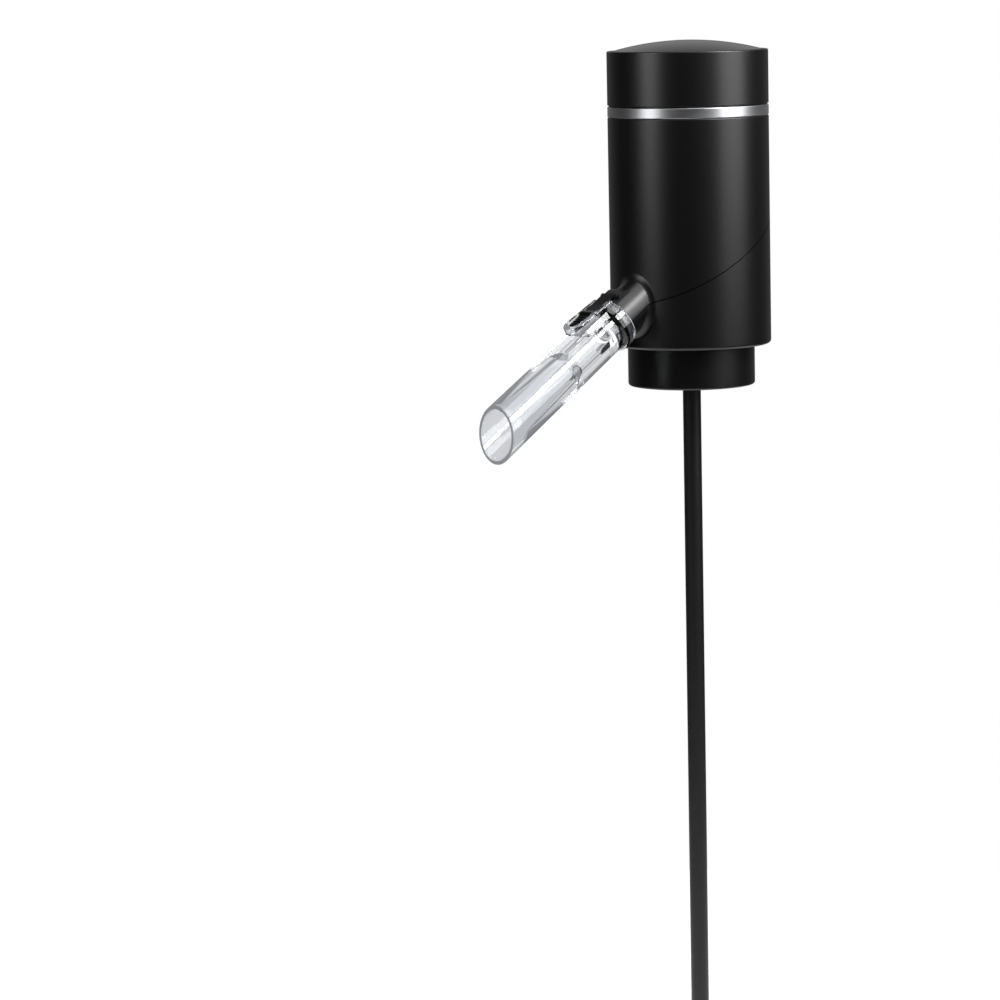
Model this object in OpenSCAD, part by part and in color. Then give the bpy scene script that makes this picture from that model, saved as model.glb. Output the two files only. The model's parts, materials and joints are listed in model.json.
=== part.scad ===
// Electric wine aerator that plugs into a bottle: a battery air pump, a clear pouring spout and a dip tube.
// Millimetres. +Z is up, the spout points to -Y, and the origin is on the axis where the bottle's lip seats.

/* [Body] */
// Outer radius of the shells, the trim ring and the cap
body_r = 26.5; // [26:0.1:29]
// Height of the two shells together, from the lip seat to the trim ring
body_h = 75; // [73:0.5:85]
// Wall thickness of the shells
shell_wall = 2.2; // [1.8:0.1:2.4]
// Thickness of the lower shell's floor
floor_t = 4; // [3.6:0.1:5]
// Rounding of the body's lower edge
body_edge_r = 1.2; // [0.5:0.1:2]
// Rounding of the body's upper edge, under the trim ring
top_edge_r = 0.4; // [0.2:0.05:0.6]
// Width of the groove that shows at the seam of the shells
seam_gap = 0.3; // [0.1:0.05:0.5]
// Height of the inner lip that laps the seam
lap_h = 2; // [1:0.1:3]
// Thickness of the inner lip
lap_t = 1.2; // [0.8:0.1:1.4]
// Thickness of the ledge that carries the neck
ledge_t = 2.5; // [1.5:0.1:4]

/* [Spout axis and boss] */
// Height at which the spout's axis crosses the body's axis
axis_z = 31.1; // [30:0.1:33]
// Slope of the spout's axis and of the seam below the horizontal
spout_slope = 31; // [27:0.5:34]
// Outer radius of the boss that carries the spout
boss_r = 7.2; // [7:0.05:8]
// Distance of the boss's end from the body's axis, along the spout
boss_end = 40.8; // [39:0.1:44]
// Fillet at the boss's root, on its upper side
fillet_top = 4.8; // [3:0.1:6]
// Fillet at the boss's root, on its under side
fillet_under = 2.2; // [1:0.1:2.6]
// Width of the catch ridge on top of the boss
ridge_w = 7; // [6:0.1:8]
// Height of the ridge's top above the spout's axis
ridge_top = 8.2; // [8:0.1:8.6]
// Length of the ridge behind the boss's end
ridge_len = 7.6; // [6:0.1:8]

/* [Trim ring] */
// Height of the trim ring
ring_h = 3.6; // [2.5:0.1:5]
// Chamfer on the ring's outer edges
ring_chamfer = 0.35; // [0.1:0.05:0.8]

/* [Cap] */
// Height of the contact carrier between the cells and the cap's floor
carrier_h = 5.13; // [4.7:0.01:9]
// Wall thickness of the cap
cap_wall = 1.6; // [1.4:0.1:2]
// Rounding of the cap's rim
rim_edge_r = 0.5; // [0.2:0.05:0.7]
// Depth of the button's well below the rim
well_depth = 7.6; // [7:0.1:9]
// Thickness of the cap's floor
cap_floor_t = 2; // [1.5:0.1:2.5]
// Height of the bayonet neck above the shells
neck_h = 9.5; // [9:0.1:10]
// Number of bayonet lugs
lug_count = 3; // [2:1:4]
// Width of a bayonet lug, as an angle
lug_angle = 16; // [10:1:20]
// Turn that frees the cap
cap_turn = 30; // [20:1:35]
// Height of a bayonet lug
lug_h = 2; // [1.5:0.1:2.4]
// Depth of a bayonet lug
lug_depth = 1.5; // [1:0.1:1.6]

/* [Button] */
// Rise of the button's dome above the cap's rim
dome_rise = 3.3; // [2:0.1:4.5]
// Thickness of the dome
dome_t = 2.2; // [1.6:0.1:2.6]
// Height of the button's skirt
skirt_h = 4.6; // [3.5:0.1:5]
// Travel of the button
button_travel = 1.5; // [1:0.1:1.5]
// Radius of the button's stem
stem_r = 2.5; // [2.2:0.1:2.8]
// Radius of the return spring
button_spring_r = 4.6; // [4.2:0.1:6]
// Turns of the return spring
button_spring_turns = 6; // [4:1:8]
// Wire diameter of the return spring
button_spring_wire = 0.6; // [0.4:0.1:0.7]

/* [Neck collar] */
// Outer radius of the collar
collar_r = 21; // [20.6:0.1:21.2]
// Height of the collar
collar_h = 13.5; // [11:0.5:20]
// Wall thickness of the collar
collar_wall = 2; // [1.5:0.1:2.2]
// Radius of the guide that passes the bottle's lip
guide_r = 15.3; // [15:0.1:15.6]
// Wall thickness of the guide
guide_wall = 1.5; // [1.2:0.1:1.6]
// Thickness of the collar's top web
web_t = 2; // [1.5:0.1:4]
// Number of ribs between the collar's two walls
collar_ribs = 12; // [6:1:18]
// Thickness of a rib
collar_rib_t = 1.2; // [0.8:0.1:2]
// Height of the collar's locating ring
locating_h = 1.6; // [1:0.1:2.2]

/* [Stopper and dip tube] */
// Radius of the stopper, for the bottle's mouth
plug_r = 9.25; // [9:0.05:9.5]
// Straight length of the stopper
plug_len = 12; // [10:0.5:22]
// Chamfer at the stopper's tip
plug_chamfer = 1.2; // [0.6:0.1:1.5]
// Radius of the flange that seats on the lip
flange_r = 14.5; // [13.5:0.1:14.7]
// Thickness of that flange
flange_t = 1.8; // [1.4:0.1:2.2]
// Radius of the stopper's upper lip
lip_r = 10.4; // [10.2:0.1:11]
// Thickness of the stopper's upper lip
lip_t = 1.4; // [1:0.1:2]
// Outer radius of the dip tube
tube_r = 3; // [2.6:0.1:3.2]
// Wall thickness of the dip tube
tube_wall = 0.9; // [0.6:0.1:1]
// Depth of the dip tube below the lip seat
tube_depth = 275; // [200:5:320]
// Height of the dip tube's top end in the manifold
tube_top = 14; // [12:0.5:16]

/* [Wine path] */
// Outer radius of the manifold's pipes
pipe_r = 4.2; // [3.8:0.1:4.4]
// Bore radius of the manifold's pipes
pipe_bore = 2.4; // [2:0.1:2.6]
// Radius of the manifold's nose in the spout
nose_r = 6; // [5.8:0.05:6.1]
// Length of the nose past the boss
nose_out = 7.5; // [6.5:0.1:7.6]
// Radius of the manifold's foot round the dip tube
foot_r = 5.2; // [5:0.05:5.3]
// Thickness of the manifold's base flange
base_t = 1.6; // [1.2:0.1:2.5]
// Distance of the air leg behind the axis
air_y = 7.2; // [7:0.05:7.4]
// Outer radius of the air leg
air_leg_r = 2; // [1.8:0.1:2.1]
// Bore radius of the air path
air_bore = 0.8; // [0.6:0.1:0.9]
// Radius of the hose barbs
barb_r = 1.5; // [1.3:0.1:1.6]
// Wall thickness of the air hose
hose_wall = 0.7; // [0.5:0.1:0.8]
// Radius of the orifice that draws air into the wine
orifice_r = 0.5; // [0.3:0.1:0.7]

/* [Spout] */
// Distance of the mouth's vertical plane from the body's axis
spout_reach = 88.5; // [75:0.5:100]
// Outer radius of the spout at its collar
spout_collar_r = 8.7; // [8.6:0.05:9]
// Length of the spout's collar
spout_collar_len = 5.2; // [4.6:0.1:6]
// Outer radius of the spout behind its collar
spout_root_r = 7.6; // [7.5:0.05:7.8]
// Outer radius of the spout at its mouth
spout_tip_r = 8.1; // [7.8:0.05:8.4]
// Wall thickness at the mouth
spout_wall = 1.1; // [0.9:0.05:1.4]
// Radius of the bore just past the mixing throat
cone_root_r = 4.4; // [4:0.1:4.8]
// Radius of the bore where it starts to flare towards the mouth
cone_end_r = 5.4; // [5.2:0.1:6]
// Depth of the socket that takes the manifold's nose
socket_depth = 7.8; // [7.7:0.1:9]
// Radius of the mixing throat
throat_r = 3.3; // [2.6:0.1:3.8]
// Length of the mixing throat
throat_len = 18; // [17:0.5:22]
// Section radius of the seal in the socket
seal_section_r = 1; // [0.8:0.05:1.1]
// Distance of the seal from the boss's end
seal_s = 3.4; // [2.6:0.1:4]

/* [Latch] */
// Outer width of the latch housing
housing_w = 10; // [9.6:0.1:11]
// Wall thickness of the latch housing
housing_wall = 1.5; // [1.2:0.1:1.7]
// Length of the latch housing
housing_len = 21.3; // [20.5:0.1:24]
// Height of the housing's top above the spout's axis
housing_top = 10.8; // [10.6:0.1:11.4]
// Height of the trough's floor above the spout's axis
trough_floor = 8; // [7.9:0.05:8.1]
// Distance of the latch's pivot from the boss's end
pivot_s = 9.2; // [8.5:0.1:10]
// Height of the latch's pivot above the spout's axis
pivot_h = 9.6; // [9.5:0.05:9.7]
// Radius of the pivot's stubs
pivot_r = 0.7; // [0.5:0.05:0.8]
// Radius of the hub round the pivot
hub_r = 1.3; // [1.1:0.05:1.3]
// Radius of the hump over the pivot
hump_r = 1.9; // [1.6:0.1:2.2]
// Distance of the pad's tip from the pivot
pad_reach = 10; // [9:0.1:10.4]
// Height of the pad's top above the spout's axis
pad_top = 11.1; // [10.9:0.1:11.5]
// Thickness of the pad
pad_t = 1.8; // [1.4:0.1:1.9]
// Thickness of the hook's arm
arm_t = 1.2; // [1:0.1:1.5]
// Length of the hook's tooth along the spout
tooth_len = 1.2; // [0.8:0.1:1.4]
// Number of grip ribs on the pad
pad_ribs = 5; // [4:1:7]
// Radius of a grip rib
pad_rib_r = 0.45; // [0.2:0.05:0.45]

/* [Batteries] */
// Number of cells
battery_count = 6; // [4:2:6]
// Radius of a cell
battery_r = 5.25; // [5:0.05:5.25]
// Length of a cell
battery_len = 44.5; // [43:0.1:45]
// Height of a cell's contact spring
cell_spring_h = 3.6; // [3:0.1:4]
// Turns of a cell's contact spring
cell_spring_turns = 3; // [2:1:4]
// Wire diameter of a cell's contact spring
cell_spring_wire = 0.5; // [0.3:0.05:0.6]
// Thickness of the holder's thin walls
holder_wall = 0.7; // [0.5:0.05:0.75]
// Thickness of the holder's floor
holder_floor = 1.5; // [1:0.1:2]
// Thickness of the contact plates
contact_t = 0.4; // [0.2:0.1:0.6]

/* [Motor and pump] */
// Radius of the motor and of the pump
motor_r = 10; // [9.7:0.05:10]
// Depth of the circuit board below the tops of the cells
board_drop = 3.5; // [3.3:0.1:5]
// Wall thickness of the motor's can
can_wall = 0.8; // [0.6:0.05:1]
// Radius of the motor's shaft
shaft_r = 1; // [0.8:0.05:1.1]
// Thickness of the pump's cover
cover_t = 2.4; // [2.2:0.1:3]
// Thickness of the valve sheet
sheet_t = 0.4; // [0.3:0.1:0.6]
// Thickness of the valve plate
valve_t = 4; // [3.6:0.1:4.5]
// Thickness of the diaphragm's rim
diaphragm_t = 1.2; // [1:0.1:1.6]
// Height of the pump's case
case_h = 12; // [11.6:0.1:12.5]
// Radius of the case's cavity
cavity_r = 7.6; // [7.4:0.05:7.7]
// Distance of the pump's chambers from its axis
chamber_y = 4.8; // [4.6:0.05:4.9]
// Radius of a diaphragm cup
cup_r = 2.4; // [2.1:0.05:2.5]
// Tilt of the wobble plate
wobble_tilt = 4; // [2:0.5:5]
// Radius of the crank
crank_r = 4; // [3.4:0.1:4.1]
// Radius of the crank's tilted pin
crank_pin_r = 0.75; // [0.6:0.05:0.8]

/* [Switch] */
// Thickness of the circuit board
board_t = 1.6; // [1:0.1:1.8]
// Side of the switch
switch_w = 6.2; // [5.6:0.1:6.6]
// Height of the switch's case
switch_h = 3.2; // [2.9:0.1:3.4]
// Radius of the switch's plunger
plunger_r = 1.7; // [1.4:0.05:1.9]

/* [Screws] */
// Radius of the shell screws
shell_screw_r = 1; // [0.8:0.05:1.1]
// Distance of the shell screws' axes from the outside of the shells
shell_screw_inset = 3.2; // [3:0.05:3.4]
// Angle of the shell screws in front of the side
shell_screw_angle = 28.8; // [27:0.2:31]
// Radius of the screw columns
column_boss_r = 2.6; // [2.3:0.1:2.8]
// Radius of the pump, motor and board screws
small_screw_r = 0.8; // [0.6:0.05:0.85]

/* [Fits] */
// Gap between pieces that move past each other
move_gap = 0.3; // [0.25:0.05:0.4]
// Radial clearance of a shaft or pin that runs in its hole
run_fit = 0.04; // [0.02:0.01:0.08]
// Clearance of pieces that are pushed together
slip_fit = 0.1; // [0.05:0.01:0.15]

/* [Hidden] */
$fn = 96;

// Colours
black = [0.07, 0.07, 0.075];
clear = [0.85, 0.9, 0.92, 0.4];
steel = [0.72, 0.72, 0.74];
brass = [0.78, 0.62, 0.32];
rubber = [0.1, 0.1, 0.1];
silicone = [0.8, 0.8, 0.78];

// Length that is longer than any piece of the body, for cuts
over = 200;
// Sinking of one solid into another where they are joined
sink = 0.5;

// Shell
inner_r = body_r - shell_wall;
neck_z = body_h - ledge_t;
neck_top = body_h + neck_h;
column_top = axis_z - sink;
shell_screw_place = body_r - shell_screw_inset;
shell_screw_x = shell_screw_place * cos(shell_screw_angle);
shell_screw_y = shell_screw_place * sin(shell_screw_angle);
seam_at_screw = axis_z - shell_screw_y * tan(spout_slope);
screw_recess = 0.6;
screw_head_h = 2;
pilot_top = column_top - 1;
screw_tip = pilot_top - 1.4;

// Collar
collar_in = collar_r - collar_wall;
guide_out = guide_r + guide_wall;

// Battery ring round the motor
column_r = motor_r + 2 * slip_fit;
bore_r = battery_r + 1.5 * slip_fit;
battery_ring_r = column_r + holder_wall + bore_r;
holder_r = battery_ring_r + bore_r + holder_wall;
neck_in = holder_r + 2 * slip_fit;
battery_step = 360 / battery_count;
battery_first = battery_step / 2;
lead_r = 0.5;
board_screw_len = 7;
board_screw_place = column_r + 2.8;
board_ear_r = 1.8;

// Battery holder, above the outlet pipe
pipe_room = 1.6;
holder_z = axis_z - column_r * tan(spout_slope) + pipe_r / cos(spout_slope) + pipe_room;
battery_z = holder_z + holder_floor + cell_spring_h;
battery_top = battery_z + battery_len;
contact_z = battery_top + move_gap + slip_fit;
carrier_z = contact_z + contact_t;
carrier_in = column_r + 1.2;
carrier_out = neck_in - move_gap - slip_fit;

// Cap, whose floor clears the contacts and the neck
cap_z = body_h + ring_h;
cap_in = body_r - cap_wall;
cap_floor_z = max(carrier_z + carrier_h, neck_top + move_gap);
cap_floor_top = cap_floor_z + cap_floor_t;
cap_top = cap_floor_top + well_depth;
neck_r = cap_in - move_gap;
lug_lift = 2.3;
lug_z = cap_z + lug_lift;
peg_r = 1.2;
peg_first = 60;

// Pump, stacked above the wine path
pump_gap = 2;
pump_z = axis_z + pipe_r + pump_gap;
sheet_z = pump_z + cover_t;
valve_z = sheet_z + sheet_t;
diaphragm_z = valve_z + valve_t;
case_z = diaphragm_z + diaphragm_t;
case_plate_t = 2;
motor_z = case_z + case_h;
case_ceiling = motor_z - case_plate_t;
wobble_z = case_z + 1.9;
crank_z = wobble_z + 2;
crank_top = case_ceiling - sink;
shaft_end = crank_z + 3;
nipple_r = 0.6;
chamber_first = 90;
pump_screw_first = 30;
pump_head_r = small_screw_r + 0.4;
pump_head_h = 1.2;
pump_screw_bite = 4.5;
pin_foot = 1.4;
pin_top = shaft_end - wobble_z - 0.6;

// Motor, between the pump and the circuit board
board_z = battery_top - board_drop;
motor_len = board_z - move_gap - motor_z;
motor_boss_r = 3;
motor_boss_h = 1.5;
motor_screw_x = 6;
end_cap_t = 1.5;
can_end = motor_z + motor_len - end_cap_t;
can_in = motor_r - can_wall;
can_front = 1.2;
magnet_t = 1.6;
shaft_bite = 0.3;
terminal_t = 1;
terminal_w = 2.4;
terminal_x = 5;
terminal_y = 4.5;

// Switch
switch_z = board_z + board_t;
switch_top = switch_z + switch_h;
plunger_top = switch_top + button_travel + move_gap;
plunger_len = 3;

// Button
button_r = cap_in - move_gap + slip_fit / 2;
dome_r = (button_r * button_r + dome_rise * dome_rise) / (2 * dome_rise);
dome_top = cap_top + dome_rise;
stem_end = plunger_top + move_gap;
clip_t = 0.6;
clip_z = cap_floor_z - clip_t - 2 * slip_fit;
clip_groove = 0.5;

// Wine path
stopper_top = floor_t + lip_t;
foot_top = tube_top + 1.5;
nose_s = boss_end - 4.3;
nose_end = boss_end + nose_out;
boss_bore = nose_r + 2 * slip_fit;
air_leg_top = axis_z - 1.6;
barb_len = 3.5;
hose_z = air_leg_top + sink;
orifice_z = axis_z - pipe_r - 1;
valve_seat = 1;
riser_section = (foot_r - tube_r) / 4;
riser_seal_z = stopper_top + base_t + 3;

// Spout
spout_s = boss_end + move_gap;
socket_r = nose_r + 1.2;
throat_s = spout_s + socket_depth;
throat_end = throat_s + throat_len;
mouth_s = spout_reach / cos(spout_slope);
spout_end = mouth_s + 1.5 * spout_tip_r;
tip_slope = (spout_tip_r - spout_root_r) / (mouth_s - spout_s - spout_collar_len);

// Latch
trough_w = housing_w - 2 * housing_wall;
latch_w = trough_w - 2 * move_gap;
pivot = boss_end + pivot_s;
arm_under = ridge_top + move_gap;
pad_under = pad_top - pad_t;
tooth_s = boss_end - 2.4;
notch_floor = boss_r + slip_fit;
tooth_under = notch_floor + move_gap - slip_fit;

// Places along the spout: local z runs out along its axis and local y points up, square to the seam
module along_spout() {
  translate([0, 0, axis_z])
    rotate([90 + spout_slope, 0, 0])
      children();
}

// Half of space above or below the seam, cut back by half the seam's groove
module seam_half(up) {
  along_spout()
    translate([-over / 2, up ? seam_gap / 2 : -over - seam_gap / 2, -over / 2])
      cube([over, over, over]);
}

// Ring with a rectangular section
module tube(outer, inner, h) {
  difference() {
    cylinder(r = outer, h = h);
    translate([0, 0, -sink])
      cylinder(r = inner, h = h + 2 * sink);
  }
}

// Copies round the axis
module around(count, first = 0) {
  for (i = [0 : count - 1])
    rotate([0, 0, first + i * 360 / count])
      children();
}

// Turned block from the axis out to r, with rounded outer edges
module turned(r, z0, z1, low_r, high_r) {
  rotate_extrude()
    union() {
      translate([0, z0])
        square([r - max(low_r, high_r), z1 - z0]);
      translate([0, z0 + low_r])
        square([r, z1 - z0 - low_r - high_r]);
      if (low_r > 0)
        translate([r - low_r, z0 + low_r])
          circle(low_r);
      if (high_r > 0)
        translate([r - high_r, z1 - high_r])
          circle(high_r);
      if (low_r < high_r)
        translate([0, z0])
          square([r - low_r, low_r + sink]);
      if (high_r < low_r)
        translate([0, z1 - high_r - sink])
          square([r - high_r, high_r + sink]);
    }
}

// Screw with a flat head at z0, pointing up
module screw(shank_r, head_r, head_h, len) {
  cylinder(r = head_r, h = head_h);
  translate([0, 0, head_h])
    cylinder(r = shank_r, h = len);
}

// One unbroken helical wire with flat-cut ends, from z0 up to z1, its radius running from r0 to r1
module helix(r0, r1, z0, z1, wire, turns, steps = 12, sides = 6) {
  rings = turns * steps;
  lift = (z1 - z0 - wire) / rings;
  points = [
    for (i = [0 : rings])
      for (j = [0 : sides - 1])
        let (
          r = r0 + (r1 - r0) * i / rings + wire / 2 * cos(j * 360 / sides),
          a = i * 360 / steps
        )
          [r * cos(a), r * sin(a), z0 + wire / 2 + lift * i + wire / 2 * sin(j * 360 / sides)]
  ];
  walls = [
    for (i = [0 : rings - 1])
      for (j = [0 : sides - 1])
        let (
          a = i * sides + j,
          b = i * sides + (j + 1) % sides
        )
          each [[a, b, a + sides], [b, b + sides, a + sides]]
  ];
  first_end = [for (j = [1 : sides - 2]) [0, j + 1, j]];
  last_end = [for (j = [1 : sides - 2]) [rings * sides, rings * sides + j, rings * sides + j + 1]];
  polyhedron(points = points, faces = concat(walls, first_end, last_end), convexity = 10);
}

// Rolling-ball fillet between the sloping boss and the round body, as one closed ring
function fillet_r(a) = (fillet_top + fillet_under) / 2 + (fillet_top - fillet_under) / 2 * sin(a);
function on_axis(a, r, wall_r) =
  (sqrt(wall_r * wall_r - pow(r * cos(a), 2)) - r * sin(a) * sin(spout_slope)) / cos(spout_slope);
function boss_point(a, r, s) = [
  r * cos(a),
  -s * cos(spout_slope) - r * sin(a) * sin(spout_slope),
  axis_z - s * sin(spout_slope) + r * sin(a) * cos(spout_slope)
];
function unit(v) = v / norm(v);

module boss_fillet() {
  steps = 48;
  arc = 6;
  bite = 0.08;
  root = 0.6;
  rows = arc + 2;
  points = [
    for (i = [0 : steps - 1])
      let (
        a = i * 360 / steps,
        ball = fillet_r(a),
        reach = boss_r + ball - bite,
        centre = boss_point(a, reach, on_axis(a, reach, body_r + ball - bite)),
        to_boss = unit(boss_point(a, 0, 0) - boss_point(a, 1, 0)),
        to_wall = unit([-centre[0], -centre[1], 0]),
        open = acos(to_boss * to_wall),
        root_s = on_axis(a, boss_r - root, body_r - root)
      )
        each concat(
          [
            for (j = [0 : arc])
              let (turn = open * j / arc)
                centre + ball * (sin(open - turn) * to_boss + sin(turn) * to_wall) / sin(open)
          ],
          [boss_point(a, boss_r - root, root_s)]
        )
  ];
  faces = [
    for (i = [0 : steps - 1])
      for (j = [0 : rows - 1])
        let (
          a = i * rows + j,
          b = i * rows + (j + 1) % rows,
          c = ((i + 1) % steps) * rows + j,
          d = ((i + 1) % steps) * rows + (j + 1) % rows
        )
          each [[a, c, b], [b, c, d]]
  ];
  polyhedron(points = points, faces = faces, convexity = 6);
}

// Places of the two shell screws
module at_shell_screws() {
  for (side = [-1, 1])
    translate([side * shell_screw_x, -shell_screw_y, 0])
      children();
}

// Ridge on the boss's end that the latch hooks behind, with a ramp at its rear
module catch_ridge() {
  ramp = ridge_top - boss_r;
  rotate([90, 0, 90])
    linear_extrude(ridge_w, center = true)
      polygon([
        [0, boss_end],
        [ridge_top, boss_end],
        [ridge_top, boss_end - ridge_len + 2 * ramp],
        [boss_r, boss_end - ridge_len],
        [0, boss_end - ridge_len]
      ]);
}

// Both shells in one, before the seam is cut
module whole_shell() {
  difference() {
    union() {
      difference() {
        union() {
          turned(body_r, 0, body_h, body_edge_r, top_edge_r);
          along_spout()
            cylinder(r = boss_r, h = boss_end);
          along_spout()
            catch_ridge();
          boss_fillet();
        }
        translate([0, 0, floor_t])
          cylinder(r = inner_r, h = neck_z - floor_t);
        translate([0, 0, neck_z - sink])
          cylinder(r = neck_in, h = over);
      }
      at_shell_screws()
        translate([0, 0, floor_t - sink])
          cylinder(r = column_boss_r, h = column_top - floor_t + sink);
    }
    along_spout()
      cylinder(r = boss_bore, h = over);
    along_spout()
      translate([-ridge_w, notch_floor, tooth_s - move_gap])
        cube([2 * ridge_w, ridge_top, tooth_len + 2 * move_gap]);
    at_shell_screws()
      shell_screw_hole();
  }
}

// Screw's counterbore, clearance hole below the seam and pilot hole above it
module shell_screw_hole() {
  translate([0, 0, -sink])
    cylinder(r = 2 * shell_screw_r + slip_fit, h = screw_recess + screw_head_h + sink);
  cylinder(r = shell_screw_r + slip_fit, h = seam_at_screw);
  cylinder(r = shell_screw_r, h = pilot_top);
}

// Inner lip of the lower shell that laps the seam
module seam_lap() {
  difference() {
    intersection() {
      translate([0, 0, floor_t])
        tube(inner_r - slip_fit, inner_r - slip_fit - lap_t, body_h);
      along_spout()
        translate([-over / 2, -lap_h, -over / 2])
          cube([over, 2 * lap_h, over]);
    }
    along_spout()
      cylinder(r = boss_bore + lap_t, h = over);
    at_shell_screws()
      cylinder(r = column_boss_r + move_gap, h = over);
  }
}

// Web that joins the lip to the wall below the seam
module lap_web() {
  difference() {
    intersection() {
      translate([0, 0, floor_t])
        tube(inner_r + sink, inner_r - slip_fit - lap_t, body_h);
      along_spout()
        translate([-over / 2, -lap_h, -over / 2])
          cube([over, lap_h - seam_gap / 2, over]);
    }
    along_spout()
      cylinder(r = boss_bore + lap_t, h = over);
    at_shell_screws()
      cylinder(r = column_boss_r - sink, h = over);
  }
}

module lower_shell() {
  post_r = 2;
  post_place = inner_r - lap_t - 2 * post_r;
  post_angles = [45, 135, 228, 312];
  color(black)
    difference() {
      union() {
        intersection() {
          whole_shell();
          seam_half(false);
        }
        seam_lap();
        lap_web();
        for (a = post_angles)
          rotate([0, 0, a])
            translate([post_place, 0, floor_t - sink])
              cylinder(r = post_r, h = holder_z - floor_t + sink);
      }
      translate([0, 0, -sink])
        cylinder(r = flange_r + slip_fit, h = flange_t + sink);
      translate([0, 0, -sink])
        cylinder(r = plug_r, h = over);
      translate([0, 0, -sink])
        tube(collar_in + slip_fit, guide_out - slip_fit, locating_h + slip_fit + sink);
    }
}

module upper_shell() {
  slot_r = cap_in - lug_depth - move_gap;
  slot_h = lug_h + 2 * move_gap;
  side = lug_angle / 2 + asin(2 * move_gap / neck_r);
  color(black)
    union() {
      intersection() {
        whole_shell();
        seam_half(true);
      }
      difference() {
        translate([0, 0, neck_z])
          tube(neck_r, neck_in, neck_top - neck_z);
        around(lug_count) {
          bayonet_cut(slot_r, -side, cap_turn + side + 1, lug_z - move_gap, slot_h);
          bayonet_cut(neck_in - sink, cap_turn - side, cap_turn + side, lug_z + lug_h / 2, neck_h);
        }
      }
    }
}

// Part of the bayonet slot between two angles
module bayonet_cut(r, from, to, z, h) {
  rotate([0, 0, from])
    rotate_extrude(angle = to - from)
      translate([r, z])
        square([body_r - r, h]);
}

module trim_ring() {
  color(steel)
    rotate_extrude()
      polygon([
        [neck_r + slip_fit, body_h],
        [body_r - ring_chamfer, body_h],
        [body_r, body_h + ring_chamfer],
        [body_r, cap_z - ring_chamfer],
        [body_r - ring_chamfer, cap_z],
        [neck_r + slip_fit, cap_z]
      ]);
}

module neck_collar() {
  edge = 0.8;
  guide_step = 1;
  rib_step = 2;
  rib_first = 15;
  color(black)
    difference() {
      union() {
        turned(collar_r, -collar_h, 0, edge, 0);
        translate([0, 0, -sink])
          cylinder(r = collar_in, h = locating_h + sink);
      }
      translate([0, 0, -sink])
        cylinder(r = guide_out, h = over);
      translate([0, 0, -over / 2])
        cylinder(r = guide_r, h = over);
      translate([0, 0, -collar_h - sink])
        cylinder(r = collar_in, h = guide_step + sink);
      difference() {
        translate([0, 0, -collar_h])
          tube(collar_in, guide_out, collar_h - web_t);
        around(collar_ribs, rib_first)
          translate([0, -collar_rib_t / 2, rib_step - collar_h])
            cube([collar_r, collar_rib_t, collar_h]);
      }
    }
}

module stopper() {
  color(silicone)
    difference() {
      rotate_extrude()
        polygon([
          [0, -plug_len - plug_chamfer],
          [plug_r - plug_chamfer, -plug_len - plug_chamfer],
          [plug_r, -plug_len],
          [plug_r, 0],
          [flange_r, 0],
          [flange_r, flange_t],
          [plug_r, flange_t],
          [plug_r, floor_t],
          [lip_r, floor_t],
          [lip_r - lip_t / 2, stopper_top],
          [0, stopper_top]
        ]);
      translate([0, 0, -over / 2])
        cylinder(r = tube_r, h = over);
      translate([0, air_y, -over / 2])
        cylinder(r = air_bore + slip_fit, h = over);
      translate([0, air_y, stopper_top - valve_seat])
        cylinder(r = 2 * air_bore, h = valve_seat + sink);
    }
}

// Dip tube with its lower end cut at 45 degrees, so that it can't seal against the bottle
module dip_tube() {
  color(black)
    difference() {
      translate([0, 0, -tube_depth])
        tube(tube_r, tube_r - tube_wall, tube_depth + tube_top);
      translate([-tube_r, 0, -tube_depth - tube_r])
        rotate([-45, 0, 0])
          translate([-tube_r, -over, -over])
            cube([over, 2 * over, over]);
    }
}

// O-ring with a round section, centred on the axis
module o_ring(inner, section_r) {
  rotate_extrude()
    translate([inner + section_r, 0])
      circle(section_r, $fn = 32);
}

module riser_seal() {
  color(rubber)
    translate([0, 0, riser_seal_z])
      o_ring(tube_r, riser_section);
}

// Duckbill that lets air into the bottle and keeps wine out of the pump
module check_valve() {
  bill_len = 2.5;
  bill_wall = 1;
  color(silicone)
    translate([0, air_y, stopper_top - valve_seat])
      difference() {
        union() {
          cylinder(r = 2 * air_bore - slip_fit / 2, h = valve_seat);
          translate([0, 0, -bill_len])
            cylinder(r1 = air_bore / 2, r2 = air_bore, h = bill_len + slip_fit);
        }
        translate([0, 0, bill_wall - bill_len])
          cylinder(r = 0.4 * air_bore, h = bill_len + valve_seat);
      }
}

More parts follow.
